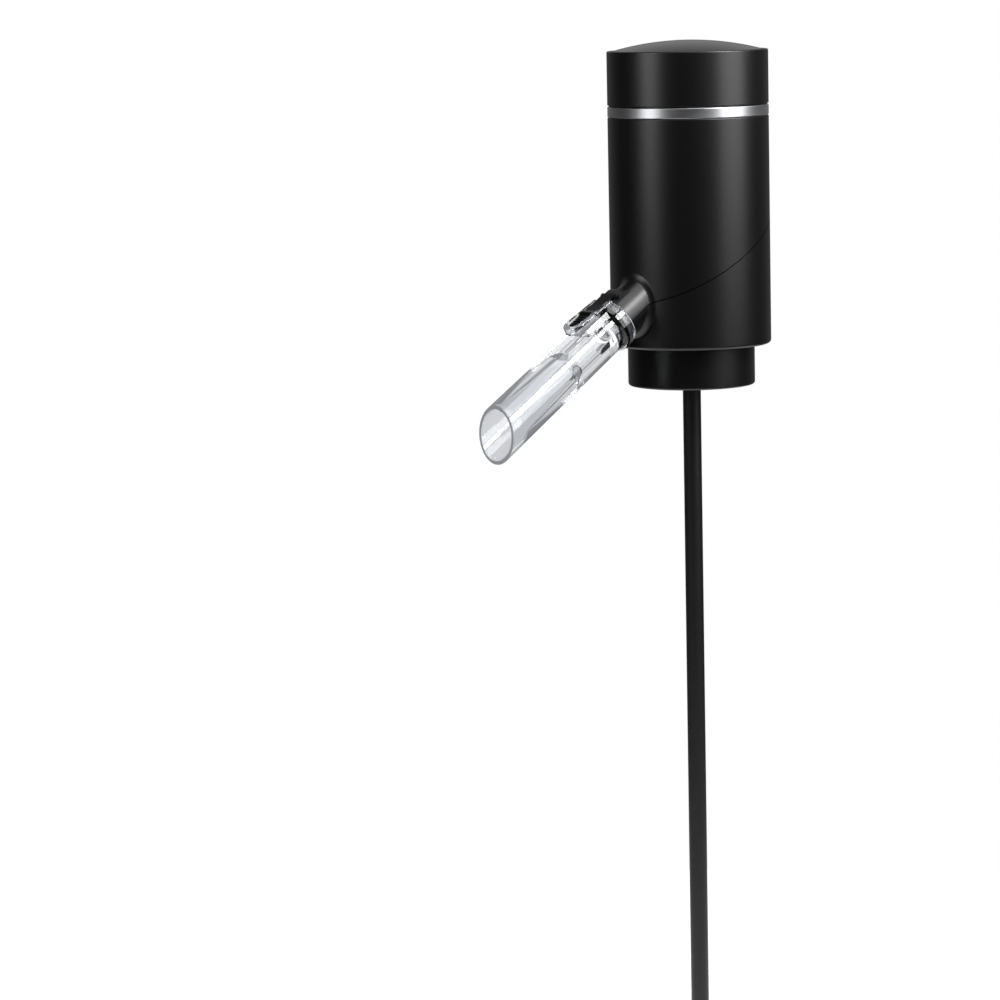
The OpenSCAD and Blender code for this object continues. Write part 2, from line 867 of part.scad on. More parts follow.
module flow_manifold() {
  seal_groove = 2 * seal_section_r + 2 * slip_fit;
  riser_groove = 2 * riser_section + 2 * slip_fit;
  elbow_swell = 0.3;
  color(clear)
    difference() {
      union() {
        translate([0, 0, stopper_top])
          cylinder(r = lip_r, h = base_t);
        translate([0, 0, stopper_top])
          cylinder(r = foot_r, h = foot_top - stopper_top);
        translate([0, 0, stopper_top])
          cylinder(r = pipe_r, h = axis_z - stopper_top);
        translate([0, 0, axis_z])
          sphere(r = pipe_r + elbow_swell);
        along_spout()
          cylinder(r = pipe_r, h = nose_end - sink);
        along_spout()
          translate([0, 0, nose_s])
            cylinder(r = nose_r, h = nose_end - nose_s);
        translate([0, air_y, stopper_top])
          cylinder(r = air_leg_r, h = air_leg_top - stopper_top);
        translate([0, air_y, air_leg_top - sink])
          cylinder(r = barb_r, h = barb_len + sink);
        translate([-air_leg_r / 2, 0, stopper_top])
          cube([air_leg_r, air_y, orifice_z + air_leg_r - stopper_top]);
      }
      translate([0, 0, stopper_top - sink])
        cylinder(r = tube_r, h = tube_top - stopper_top + sink);
      cylinder(r = pipe_bore, h = axis_z);
      translate([0, 0, axis_z])
        sphere(r = pipe_bore + elbow_swell);
      along_spout()
        cylinder(r = pipe_bore, h = over);
      translate([0, air_y, 0])
        cylinder(r = air_bore, h = over);
      translate([0, air_y, orifice_z])
        rotate([90, 0, 0])
          cylinder(r = orifice_r, h = air_y);
      translate([0, 0, riser_seal_z - riser_groove / 2])
        cylinder(r = tube_r + 2 * riser_section, h = riser_groove);
      along_spout()
        translate([0, 0, boss_end + seal_s - seal_groove / 2])
          tube(over, socket_r - 2 * seal_section_r, seal_groove);
    }
}

module air_hose() {
  color(silicone)
    translate([0, air_y, hose_z])
      tube(barb_r + hose_wall, barb_r, pump_z - hose_z);
}

module shell_screws() {
  color(steel)
    at_shell_screws()
      translate([0, 0, screw_recess])
        screw(shell_screw_r, 2 * shell_screw_r, screw_head_h, screw_tip - screw_recess - screw_head_h);
}

// Outside of the spout's tube along its axis
module spout_outside() {
  collar_slant = 0.8;
  rotate_extrude()
    polygon([
      [0, spout_s],
      [spout_collar_r, spout_s],
      [spout_collar_r, spout_s + spout_collar_len - collar_slant],
      [spout_root_r, spout_s + spout_collar_len],
      [spout_root_r + tip_slope * (spout_end - spout_s - spout_collar_len), spout_end],
      [0, spout_end]
    ]);
}

// Socket, mixing throat and flared bore of the spout
module spout_bore() {
  mouth_r = spout_tip_r - spout_wall;
  step_len = 1.5;
  flare_s = mouth_s - 19;
  flare_end = mouth_s - 5.25;
  rotate_extrude()
    polygon([
      [0, spout_s - sink],
      [socket_r, spout_s - sink],
      [socket_r, throat_s],
      [throat_r, throat_s],
      [throat_r, throat_end],
      [cone_root_r, throat_end + step_len],
      [cone_end_r, flare_s],
      [mouth_r, flare_end],
      [mouth_r, spout_end + sink],
      [0, spout_end + sink]
    ]);
}

// Plan of the latch housing: straight sides and a round front
module latch_plan(w, s0, s1, h0, h1) {
  translate([-w / 2, h0, s0])
    cube([w, h1 - h0, s1 - w / 2 - s0]);
  translate([0, h0, s1 - w / 2])
    rotate([-90, 0, 0])
      cylinder(r = w / 2, h = h1 - h0);
}

module spout() {
  color(clear)
    difference() {
      along_spout()
        difference() {
          union() {
            spout_outside();
            latch_plan(housing_w, spout_s, spout_s + housing_len, 0, housing_top);
          }
          spout_bore();
          latch_plan(trough_w, spout_s - sink, spout_s + housing_len - housing_wall, trough_floor, over);
          translate([0, pivot_h, pivot])
            rotate([0, 90, 0])
              cylinder(r = pivot_r + run_fit, h = over, center = true);
        }
      translate([-over / 2, -spout_reach - over, -over])
        cube([over, over, 2 * over]);
    }
}

module spout_seal() {
  color(rubber)
    along_spout()
      translate([0, 0, boss_end + seal_s])
        o_ring(socket_r - 2 * seal_section_r, seal_section_r);
}

// Release lever: hook behind the ridge, pivot under the hump, ribbed pad in front
module spout_latch() {
  tip = pivot + pad_reach;
  pad_back = pivot - 3.5;
  step = 1;
  tip_drop = 0.7;
  rib_first = pivot + hump_r + step;
  rib_last = tip - tip_drop - sink;
  rib_gap = (rib_last - rib_first) / (pad_ribs - 1);
  color(black)
    along_spout() {
      intersection() {
        union() {
          rotate([90, 0, 90])
            linear_extrude(latch_w, center = true)
              polygon([
                [tooth_under, tooth_s],
                [tooth_under, tooth_s + tooth_len],
                [arm_under, tooth_s + tooth_len],
                [arm_under, pad_back],
                [pad_under, pad_back + step],
                [pad_under, tip],
                [pad_top - tip_drop, tip],
                [pad_top, tip - tip_drop],
                [pad_top, pad_back],
                [arm_under + arm_t, pad_back - step],
                [arm_under + arm_t, tooth_s]
              ]);
          for (i = [0 : pad_ribs - 1])
            translate([0, pad_top, rib_first + i * rib_gap])
              rotate([0, 90, 0])
                cylinder(r = pad_rib_r, h = latch_w, center = true, $fn = 24);
        }
        latch_plan(latch_w, 0, spout_s + housing_len - housing_wall - move_gap, 0, over);
      }
      translate([0, pivot_h, pivot])
        rotate([0, 90, 0]) {
          cylinder(r = hub_r, h = latch_w, center = true);
          cylinder(r = pivot_r, h = housing_w - slip_fit, center = true);
        }
      intersection() {
        translate([0, pivot_h, pivot])
          rotate([0, 90, 0])
            cylinder(r = hump_r, h = latch_w, center = true);
        translate([-latch_w, pivot_h, 0])
          cube([2 * latch_w, over, over]);
      }
    }
}

// Places of the cells round the motor
module at_cells() {
  around(battery_count, battery_first)
    translate([battery_ring_r, 0, 0])
      children();
}

// Places of the two leads, between cells
module at_leads() {
  for (a = [battery_step, battery_step + 180])
    rotate([0, 0, a])
      translate([column_r + holder_wall, 0, 0])
        children();
}

// Places of the board's screws, between cells
module at_board_screws() {
  for (a = [0, 180])
    rotate([0, 0, a])
      translate([board_screw_place, 0, 0])
        children();
}

module battery_holder() {
  flange_h = 1.5;
  holder_flange_top = neck_z - slip_fit;
  holder_top = max(board_z, holder_flange_top);
  pump_ledge = 1.5;
  window_w = battery_r;
  window_lift = 4;
  color([0.2, 0.2, 0.21])
    difference() {
      union() {
        translate([0, 0, holder_z])
          cylinder(r = holder_r, h = holder_top - holder_z);
        translate([0, 0, holder_flange_top - flange_h])
          cylinder(r = inner_r - slip_fit, h = flange_h);
      }
      if (holder_top > board_z)
        translate([0, 0, board_z])
          cylinder(r = board_screw_place + board_ear_r + slip_fit, h = over);
      translate([0, 0, pump_z])
        cylinder(r = column_r, h = over);
      translate([0, 0, holder_z - sink])
        cylinder(r = motor_r - pump_ledge, h = over);
      translate([0, air_y, holder_z - sink])
        cylinder(r = barb_r + hose_wall + sink, h = pump_z - holder_z + sink);
      at_cells() {
        translate([0, 0, holder_z + holder_floor])
          cylinder(r = bore_r, h = over);
        translate([0, -window_w / 2, battery_z + window_lift])
          cube([over, window_w, battery_len / 2]);
      }
      at_leads()
        translate([0, 0, holder_z + holder_floor])
          cylinder(r = lead_r + slip_fit, h = over, $fn = 24);
      at_board_screws()
        translate([0, 0, board_z - board_screw_len])
          cylinder(r = small_screw_r, h = over, $fn = 24);
    }
}

module batteries() {
  nub_h = 1;
  nub_r = 1.9;
  edge = 0.4;
  color([0.75, 0.6, 0.3])
    at_cells()
      translate([0, 0, battery_z]) {
        turned(battery_r, 0, battery_len - nub_h, edge, edge);
        cylinder(r = nub_r, h = battery_len);
      }
}

module battery_springs() {
  foot_coil = 0.7 * battery_r;
  top_coil = 0.45 * battery_r;
  spring_z = holder_z + holder_floor;
  color(steel)
    at_cells()
      helix(
        foot_coil, top_coil, spring_z, battery_z - slip_fit,
        cell_spring_wire, cell_spring_turns, steps = 10, sides = 5
      );
}

module power_leads() {
  color([0.6, 0.08, 0.08])
    at_leads()
      translate([0, 0, holder_z + holder_floor])
        cylinder(r = lead_r, h = board_z - holder_z - holder_floor, $fn = 24);
}

// Places of the three pump screws and of the three chambers between them
module at_pump_screws() {
  around(3, pump_screw_first)
    translate([(motor_r + cavity_r) / 2 - slip_fit, 0, 0])
      children();
}

module at_chambers() {
  around(3, chamber_first)
    translate([chamber_y, 0, 0])
      children();
}

// Clearance holes of the pump screws
module pump_screw_holes() {
  at_pump_screws()
    cylinder(r = small_screw_r + slip_fit / 2, h = case_z, $fn = 24);
}

module pump_cover() {
  chamber_h = 1;
  color([0.15, 0.15, 0.16])
    difference() {
      union() {
        translate([0, 0, pump_z])
          cylinder(r = motor_r, h = cover_t);
        translate([0, air_y, pump_z - pump_gap])
          cylinder(r = barb_r, h = pump_gap + sink);
      }
      translate([0, air_y, 0])
        cylinder(r = air_bore, h = sheet_z);
      translate([0, 0, sheet_z - chamber_h])
        cylinder(r = cavity_r - 1, h = chamber_h + sink);
      translate([0, (air_y + chamber_y) / 2, sheet_z - chamber_h])
        cylinder(r = cavity_r - chamber_y, h = chamber_h / 2);
      pump_screw_holes();
      at_pump_screws()
        translate([0, 0, pump_z - sink])
          cylinder(r = pump_head_r + slip_fit / 2, h = pump_head_h + sink, $fn = 32);
    }
}

module valve_sheet() {
  flap_r = 1.2;
  slit_w = 0.3;
  color(rubber)
    difference() {
      translate([0, 0, sheet_z])
        cylinder(r = motor_r, h = sheet_t);
      pump_screw_holes();
      at_chambers()
        translate([0, 0, sheet_z - sink])
          tube(flap_r, flap_r - slit_w, sheet_t + 2 * sink);
    }
}

module valve_plate() {
  well_floor = 1.4;
  port_r = 0.5;
  color([0.85, 0.85, 0.83])
    difference() {
      translate([0, 0, valve_z])
        cylinder(r = motor_r, h = valve_t);
      at_chambers() {
        translate([0, 0, valve_z + well_floor])
          cylinder(r = cup_r + 2 * slip_fit, h = valve_t);
        translate([0, 0, valve_z - sink])
          cylinder(r = port_r, h = valve_t, $fn = 24);
      }
      pump_screw_holes();
    }
}

module diaphragm() {
  cup_depth = 2;
  cup_wall = 0.7;
  nipple_h = wobble_z - case_z + 1.5;
  color(rubber)
    difference() {
      union() {
        translate([0, 0, diaphragm_z])
          cylinder(r = motor_r, h = diaphragm_t);
        at_chambers() {
          translate([0, 0, diaphragm_z - cup_depth])
            cylinder(r = cup_r, h = cup_depth + sink);
          translate([0, 0, case_z - sink])
            cylinder(r = nipple_r, h = nipple_h + sink, $fn = 32);
        }
      }
      pump_screw_holes();
      at_chambers()
        translate([0, 0, diaphragm_z - cup_depth - sink])
          cylinder(r = cup_r - cup_wall, h = cup_depth + sink);
    }
}

// Places of the two screws that hold the motor to the pump
module at_motor_screws() {
  for (side = [-1, 1])
    translate([side * motor_screw_x, 0, 0])
      children();
}

module pump_case() {
  vent_r = 1;
  vent_lift = 3;
  color([0.15, 0.15, 0.16])
    difference() {
      translate([0, 0, case_z])
        cylinder(r = motor_r, h = case_h);
      translate([0, 0, case_z - sink])
        cylinder(r = cavity_r, h = case_ceiling - case_z + sink);
      cylinder(r = motor_boss_r + slip_fit / 2, h = over);
      at_motor_screws()
        cylinder(r = small_screw_r + slip_fit / 2, h = over, $fn = 24);
      at_pump_screws()
        translate([0, 0, case_z - sink])
          cylinder(r = small_screw_r, h = pump_screw_bite + 2 * sink, $fn = 24);
      translate([0, 0, case_z + vent_lift])
        rotate([-90, 0, 0])
          cylinder(r = vent_r, h = over, $fn = 32);
    }
}

module pump_screws() {
  color(steel)
    at_pump_screws()
      translate([0, 0, pump_z])
        screw(
          small_screw_r, pump_head_r, pump_head_h,
          case_z + pump_screw_bite - pump_z - pump_head_h, $fn = 24
        );
}

// Frame of the tilted pin: its axis crosses the motor's axis at the wobble plate
module tilted() {
  translate([0, 0, wobble_z])
    rotate([-wobble_tilt, 0, 0])
      children();
}

module wobble_plate() {
  plate_t = 1.4;
  hub = 2.4;
  hub_rise = 0.6;
  swing_room = 1.1;
  pad_r = cavity_r - swing_room - chamber_y;
  nipple_play = 0.5;
  color([0.85, 0.85, 0.83])
    tilted()
      difference() {
        union() {
          translate([0, 0, -plate_t / 2])
            cylinder(r = hub, h = plate_t + hub_rise);
          around(3, chamber_first) {
            translate([0, -pad_r, -plate_t / 2])
              cube([chamber_y, 2 * pad_r, plate_t]);
            translate([chamber_y, 0, -plate_t / 2])
              cylinder(r = pad_r, h = plate_t);
          }
        }
        translate([0, 0, -plate_t])
          cylinder(r = crank_pin_r + run_fit, h = 4 * plate_t);
        at_chambers()
          translate([0, 0, -plate_t])
            cylinder(r = nipple_r + nipple_play, h = 2 * plate_t, $fn = 32);
      }
}

module crank() {
  color([0.85, 0.85, 0.83])
    difference() {
      translate([0, 0, crank_z])
        cylinder(r = crank_r, h = crank_top - crank_z);
      translate([0, 0, shaft_end])
        cylinder(r = shaft_r, h = over);
      tilted()
        cylinder(r = crank_pin_r, h = pin_top);
    }
}

module crank_pin() {
  color(steel)
    tilted()
      translate([0, 0, -pin_foot])
        cylinder(r = crank_pin_r, h = pin_top + pin_foot);
}

module motor_can() {
  color(steel)
    difference() {
      union() {
        translate([0, 0, motor_z])
          cylinder(r = motor_r, h = can_end - motor_z);
        translate([0, 0, motor_z - motor_boss_h])
          cylinder(r = motor_boss_r, h = motor_boss_h + sink);
      }
      translate([0, 0, motor_z + can_front])
        cylinder(r = can_in, h = motor_len);
      cylinder(r = shaft_r + run_fit, h = over);
      at_motor_screws()
        cylinder(r = small_screw_r, h = over, $fn = 24);
    }
}

module motor_magnets() {
  arc = 130;
  end_room = 1;
  magnet_len = motor_len - 7;
  color([0.25, 0.25, 0.27])
    around(2, -arc / 2)
      rotate_extrude(angle = arc)
        translate([can_in - magnet_t, motor_z + can_front + end_room])
          square([magnet_t - slip_fit / 2, magnet_len]);
}

module motor_end_cap() {
  spigot_h = 1.5;
  color([0.85, 0.85, 0.83])
    difference() {
      union() {
        translate([0, 0, can_end])
          cylinder(r = motor_r, h = end_cap_t);
        translate([0, 0, can_end - spigot_h])
          cylinder(r = can_in - slip_fit / 2, h = spigot_h + sink);
      }
      cylinder(r = shaft_r + run_fit, h = can_end + shaft_bite + move_gap);
      at_terminals()
        cube([terminal_t, terminal_w, over], center = true);
    }
}

// Places of the motor's two terminals
module at_terminals() {
  for (side = [-1, 1])
    translate([side * terminal_x, terminal_y, board_z])
      children();
}

module motor_terminals() {
  foot = 2;
  tip = 0.8;
  color(brass)
    at_terminals()
      translate([-terminal_t / 2, -terminal_w / 2, -foot])
        cube([terminal_t, terminal_w, foot + board_t + tip]);
}

module motor_shaft() {
  color(steel)
    translate([0, 0, shaft_end])
      cylinder(r = shaft_r, h = can_end + shaft_bite - shaft_end);
}

// Laminated armature with three poles
module armature() {
  air_gap = 0.5;
  core_r = can_in - magnet_t - air_gap;
  core_z = motor_z + can_front + 2;
  core_h = motor_len - 9;
  slot_w = 1.4;
  slot_depth = 4;
  pole_first = 30;
  winding_r = 1.8;
  winding_place = core_r - 3.4;
  color([0.55, 0.33, 0.18])
    translate([0, 0, core_z])
      difference() {
        cylinder(r = core_r, h = core_h);
        translate([0, 0, -sink])
          cylinder(r = shaft_r, h = over);
        around(3, pole_first) {
          translate([core_r - slot_depth, -slot_w / 2, -sink])
            cube([over, slot_w, over]);
          translate([winding_place, 0, -sink])
            cylinder(r = winding_r, h = over);
        }
      }
}

module motor_screws() {
  head_h = 1.1;
  color(steel)
    at_motor_screws()
      translate([0, 0, case_ceiling - head_h])
        screw(small_screw_r, pump_head_r, head_h, case_plate_t + can_front, $fn = 24);
}

module circuit_board() {
  board_r = battery_ring_r - bore_r - 2 * slip_fit;
  lead_ear_r = 1.3;
  color([0.08, 0.3, 0.16])
    difference() {
      translate([0, 0, board_z])
        union() {
          cylinder(r = board_r, h = board_t);
          at_board_screws() {
            cylinder(r = board_ear_r, h = board_t);
            translate([-2 * board_ear_r, -board_ear_r, 0])
              cube([2 * board_ear_r, 2 * board_ear_r, board_t]);
          }
          at_leads()
            cylinder(r = lead_ear_r, h = board_t, $fn = 32);
        }
      at_board_screws()
        cylinder(r = small_screw_r + slip_fit / 2, h = over, $fn = 24);
      at_terminals()
        cube([terminal_t, terminal_w, over], center = true);
    }
}

module board_screws() {
  head_h = 1;
  color(steel)
    at_board_screws()
      translate([0, 0, switch_z])
        mirror([0, 0, 1])
          translate([0, 0, -head_h])
            screw(small_screw_r, 2 * small_screw_r, head_h, board_screw_len, $fn = 24);
}

module switch_body() {
  color([0.1, 0.1, 0.11])
    difference() {
      translate([-switch_w / 2, -switch_w / 2, switch_z])
        cube([switch_w, switch_w, switch_h]);
      translate([0, 0, switch_top - plunger_len + move_gap])
        cylinder(r = plunger_r + run_fit, h = over);
    }
}

module switch_plunger() {
  color([0.6, 0.1, 0.1])
    translate([0, 0, plunger_top - plunger_len])
      cylinder(r = plunger_r, h = plunger_len);
}

// Places of the pegs that stake the carrier to the cap
module at_pegs() {
  around(3, peg_first)
    translate([battery_ring_r, 0, 0])
      children();
}

module top_cap() {
  color(black)
    union() {
      difference() {
        turned(body_r, cap_z + move_gap, cap_top, rim_edge_r / 2, rim_edge_r);
        translate([0, 0, cap_z])
          cylinder(r = cap_in, h = cap_floor_z - cap_z);
        translate([0, 0, cap_floor_top])
          cylinder(r = cap_in, h = over);
        cylinder(r = stem_r + run_fit, h = over);
        at_pegs()
          cylinder(r = peg_r, h = over, $fn = 32);
      }
      around(lug_count, -lug_angle / 2)
        rotate_extrude(angle = lug_angle)
          translate([cap_in - lug_depth, lug_z])
            square([lug_depth + sink, lug_h]);
    }
}

module contact_carrier() {
  skin = 1.4;
  rib_count = 12;
  peg_head = 0.4;
  color([0.2, 0.2, 0.21])
    union() {
      difference() {
        translate([0, 0, carrier_z])
          tube(carrier_out, carrier_in, cap_floor_z - carrier_z);
        translate([0, 0, carrier_z + skin])
          tube(carrier_out - skin, carrier_in + skin, over);
      }
      around(rib_count)
        translate([carrier_in + skin / 2, -skin / 2, carrier_z])
          cube([carrier_out - carrier_in - skin, skin, cap_floor_z - carrier_z]);
      at_pegs()
        translate([0, 0, carrier_z])
          cylinder(r = peg_r, h = cap_floor_top + peg_head - carrier_z, $fn = 32);
    }
}

// Each plate joins two neighbouring cells
module cap_contacts() {
  overhang = 13;
  arc = battery_step + 2 * overhang;
  plate_w = 1.1 * battery_r;
  color(brass)
    around(battery_count / 2, battery_first + battery_step / 2 - arc / 2)
      rotate_extrude(angle = arc)
        translate([battery_ring_r - plate_w / 2, contact_z])
          square([plate_w, contact_t]);
}

module top_button() {
  rib_r = 9;
  rib_t = 1.2;
  color([0.09, 0.09, 0.095])
    difference() {
      union() {
        rotate_extrude()
          difference() {
            intersection() {
              translate([0, dome_top - dome_r])
                circle(dome_r, $fn = 240);
              translate([0, cap_top - skirt_h])
                square([button_r, skirt_h + dome_rise]);
            }
            intersection() {
              translate([0, dome_top - dome_r])
                circle(dome_r - dome_t, $fn = 240);
              square([button_r - dome_t, over]);
            }
          }
        translate([0, 0, stem_end])
          cylinder(r = stem_r, h = dome_top - dome_t / 2 - stem_end);
        translate([0, 0, cap_top - skirt_h])
          tube(rib_r + rib_t, rib_r, skirt_h + dome_rise - dome_t);
      }
      translate([0, 0, clip_z])
        tube(2 * stem_r, stem_r - clip_groove, clip_t);
    }
}

module button_spring() {
  color(steel)
    helix(
      button_spring_r, button_spring_r, cap_floor_top, dome_top - dome_t - 3 * slip_fit,
      button_spring_wire, button_spring_turns
    );
}

module stem_clip() {
  clip_w = 1.1;
  split_w = 1.2;
  color(steel)
    difference() {
      translate([0, 0, clip_z])
        tube(stem_r + clip_w, stem_r - clip_groove, clip_t);
      translate([0, -split_w / 2, clip_z - sink])
        cube([over, split_w, clip_t + 2 * sink]);
    }
}

lower_shell();
upper_shell();
trim_ring();
neck_collar();
stopper();
dip_tube();
riser_seal();
check_valve();
flow_manifold();
air_hose();
shell_screws();
spout();
spout_seal();
spout_latch();
battery_holder();
batteries();
battery_springs();
power_leads();
pump_cover();
valve_sheet();
valve_plate();
diaphragm();
pump_case();
pump_screws();
wobble_plate();
crank();
crank_pin();
motor_can();
motor_magnets();
motor_end_cap();
motor_terminals();
motor_shaft();
armature();
motor_screws();
circuit_board();
board_screws();
switch_body();
switch_plunger();
top_cap();
contact_carrier();
cap_contacts();
top_button();
button_spring();
stem_clip();
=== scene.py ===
import json
import math
import bpy
import numpy as np
from mathutils import Matrix, Vector


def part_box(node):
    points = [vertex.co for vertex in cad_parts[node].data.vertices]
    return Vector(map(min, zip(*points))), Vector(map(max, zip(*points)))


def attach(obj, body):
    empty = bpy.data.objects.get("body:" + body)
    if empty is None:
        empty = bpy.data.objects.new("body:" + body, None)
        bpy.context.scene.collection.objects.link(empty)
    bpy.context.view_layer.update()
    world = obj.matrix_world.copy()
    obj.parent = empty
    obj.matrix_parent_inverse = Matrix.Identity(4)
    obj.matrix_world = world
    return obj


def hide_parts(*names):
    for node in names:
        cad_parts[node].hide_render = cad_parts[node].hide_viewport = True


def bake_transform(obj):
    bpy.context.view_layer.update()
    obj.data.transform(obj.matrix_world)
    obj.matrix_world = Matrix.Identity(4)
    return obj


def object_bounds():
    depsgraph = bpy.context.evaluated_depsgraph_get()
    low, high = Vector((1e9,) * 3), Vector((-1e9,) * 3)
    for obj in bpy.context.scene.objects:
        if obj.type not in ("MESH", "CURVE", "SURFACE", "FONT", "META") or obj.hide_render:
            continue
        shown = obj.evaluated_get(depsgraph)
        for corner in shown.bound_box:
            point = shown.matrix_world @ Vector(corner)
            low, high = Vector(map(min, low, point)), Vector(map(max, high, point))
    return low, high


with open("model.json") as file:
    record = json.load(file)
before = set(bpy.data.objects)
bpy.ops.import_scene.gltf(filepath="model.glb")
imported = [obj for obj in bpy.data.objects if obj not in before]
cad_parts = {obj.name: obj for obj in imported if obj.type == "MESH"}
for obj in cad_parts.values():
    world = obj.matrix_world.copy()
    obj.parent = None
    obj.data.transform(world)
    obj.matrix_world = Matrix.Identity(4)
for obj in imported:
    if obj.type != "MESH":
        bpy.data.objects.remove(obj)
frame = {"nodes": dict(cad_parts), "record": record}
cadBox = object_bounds()
mm = 0.001

# the spout's axis: it crosses the body's axis at this height and slopes down towards -Y
spoutAxis = {"height": 31.1, "slope": math.radians(31)}


def linear(hexColour):
    channels = [int(hexColour[i:i + 2], 16) / 255 for i in (1, 3, 5)]
    return [c / 12.92 if c <= 0.04045 else ((c + 0.055) / 1.055) ** 2.4 for c in channels] + [1]


def addNode(tree, kind, settings={}, links={}):
    node = tree.nodes.new(kind)
    for name, value in settings.items():
        if isinstance(name, int) or name in node.inputs:
            node.inputs[name].default_value = value
        else:
            setattr(node, name, value)
    for name, source in links.items():
        tree.links.new(source, node.inputs[name])
    return node


def newMaterial(name):
    material = bpy.data.materials.new(name)
    material.use_nodes = True
    material.node_tree.nodes.clear()
    return material, material.node_tree


# depth of each pattern at full bump strength, in millimetres
grainDepth, lineDepth, flowDepth = 0.02, 0.01, 0.05


# moulded plastics and rubbers: a fine spark-eroded grain that breaks up the gloss, and a slow drift of
# shade; the grain is drawn several times coarser than the real one, so that it shows at all
def mouldedFinish(name, look):
    material, tree = newMaterial(name)
    place = addNode(tree, "ShaderNodeTexCoord").outputs["Object"]
    drift = addNode(tree, "ShaderNodeTexNoise", {"Scale": 1 / (look["driftMm"] * mm), "Detail": 2},
                    {"Vector": place})
    grain = addNode(tree, "ShaderNodeTexNoise",
                    {"Scale": 1 / (look["grainMm"] * mm), "Detail": 3, "Roughness": 0.6}, {"Vector": place})
    shade = addNode(tree, "ShaderNodeValToRGB", {}, {"Fac": drift.outputs["Fac"]})
    shade.color_ramp.elements[0].position, shade.color_ramp.elements[1].position = 0.3, 0.7
    shade.color_ramp.elements[0].color = linear(look["dark"])
    shade.color_ramp.elements[1].color = linear(look["light"])
    gloss = addNode(tree, "ShaderNodeMapRange", {"To Min": look["roughness"] - look["uneven"],
                                                 "To Max": look["roughness"] + look["uneven"]},
                    {"Value": grain.outputs["Fac"]})
    bump = addNode(tree, "ShaderNodeBump", {"Strength": look["bump"], "Distance": grainDepth * mm},
                   {"Height": grain.outputs["Fac"]})
    shader = addNode(tree, "ShaderNodeBsdfPrincipled", {"IOR": look["ior"], **look.get("sockets", {})},
                     {"Base Color": shade.outputs["Color"], "Roughness": gloss.outputs["Result"],
                      "Normal": bump.outputs["Normal"]})
    addNode(tree, "ShaderNodeOutputMaterial", {}, {"Surface": shader.outputs["BSDF"]})
    return material


# metals: fine lines left by turning or drawing, which run round or along the piece and stretch highlights
def lineFinish(name, look):
    material, tree = newMaterial(name)
    place = addNode(tree, "ShaderNodeTexCoord").outputs["Object"]
    lines = addNode(tree, "ShaderNodeMapping", {"Scale": look["stretch"]}, {"Vector": place})
    drawn = addNode(tree, "ShaderNodeTexNoise", {"Scale": 1 / (look["lineMm"] * mm), "Detail": 3},
                    {"Vector": lines.outputs["Vector"]})
    shade = addNode(tree, "ShaderNodeValToRGB", {}, {"Fac": drawn.outputs["Fac"]})
    shade.color_ramp.elements[0].position, shade.color_ramp.elements[1].position = 0.25, 0.75
    shade.color_ramp.elements[0].color = linear(look["dark"])
    shade.color_ramp.elements[1].color = linear(look["light"])
    gloss = addNode(tree, "ShaderNodeMapRange", {"To Min": look["roughness"] - look["uneven"],
                                                 "To Max": look["roughness"] + look["uneven"]},
                    {"Value": drawn.outputs["Fac"]})
    bump = addNode(tree, "ShaderNodeBump", {"Strength": look["bump"], "Distance": lineDepth * mm},
                   {"Height": drawn.outputs["Fac"]})
    shader = addNode(tree, "ShaderNodeBsdfPrincipled", {"Metallic": 1},
                     {"Base Color": shade.outputs["Color"], "Roughness": gloss.outputs["Result"],
                      "Normal": bump.outputs["Normal"]})
    addNode(tree, "ShaderNodeOutputMaterial", {}, {"Surface": shader.outputs["BSDF"]})
    return material


# clear acrylic: polished mould faces that bend the background; past a few bounces the walls give off
# a painted pale grey glow, standing in for light trapped in them, which keeps rims and edges pale grey
# instead of black
def clearAcrylic(look):
    material, tree = newMaterial("clear_acrylic")
    place = addNode(tree, "ShaderNodeTexCoord").outputs["Object"]
    flow = addNode(tree, "ShaderNodeTexNoise", {"Scale": 1 / (look["flowMm"] * mm), "Detail": 1},
                   {"Vector": place})
    bump = addNode(tree, "ShaderNodeBump", {"Strength": look["bump"], "Distance": flowDepth * mm},
                   {"Height": flow.outputs["Fac"]})
    # the clear tint turns to a painted grey shade where the surface turns away from view, darkening the rims
    facing = addNode(tree, "ShaderNodeLayerWeight", {"Blend": 0.5}).outputs["Facing"]
    tint = addNode(tree, "ShaderNodeValToRGB", {}, {"Fac": facing})
    tint.color_ramp.elements[0].position, tint.color_ramp.elements[1].position = 0.6, 1
    tint.color_ramp.elements[0].color = linear(look["tint"])
    tint.color_ramp.elements[1].color = linear(look["rim"])
    shader = addNode(tree, "ShaderNodeBsdfPrincipled",
                     {"Roughness": look["roughness"], "IOR": 1.49, "Transmission Weight": 1},
                     {"Base Color": tint.outputs["Color"], "Normal": bump.outputs["Normal"]})
    # past a few bounces the surface turns into a painted pale grey glow, in place of light trapped in the
    # walls
    depth = addNode(tree, "ShaderNodeLightPath").outputs["Ray Depth"]
    glowShare = addNode(tree, "ShaderNodeMapRange",
                     {"From Min": look["paintedGlowFrom"], "From Max": look["paintedGlowFull"]}, {"Value": depth})
    pale = addNode(tree, "ShaderNodeEmission", {"Color": linear(look["edge"])})
    mix = addNode(tree, "ShaderNodeMixShader", {}, {0: glowShare.outputs["Result"], 1: shader.outputs["BSDF"],
                                                    2: pale.outputs["Emission"]})
    addNode(tree, "ShaderNodeOutputMaterial", {}, {"Surface": mix.outputs["Shader"]})
    return material


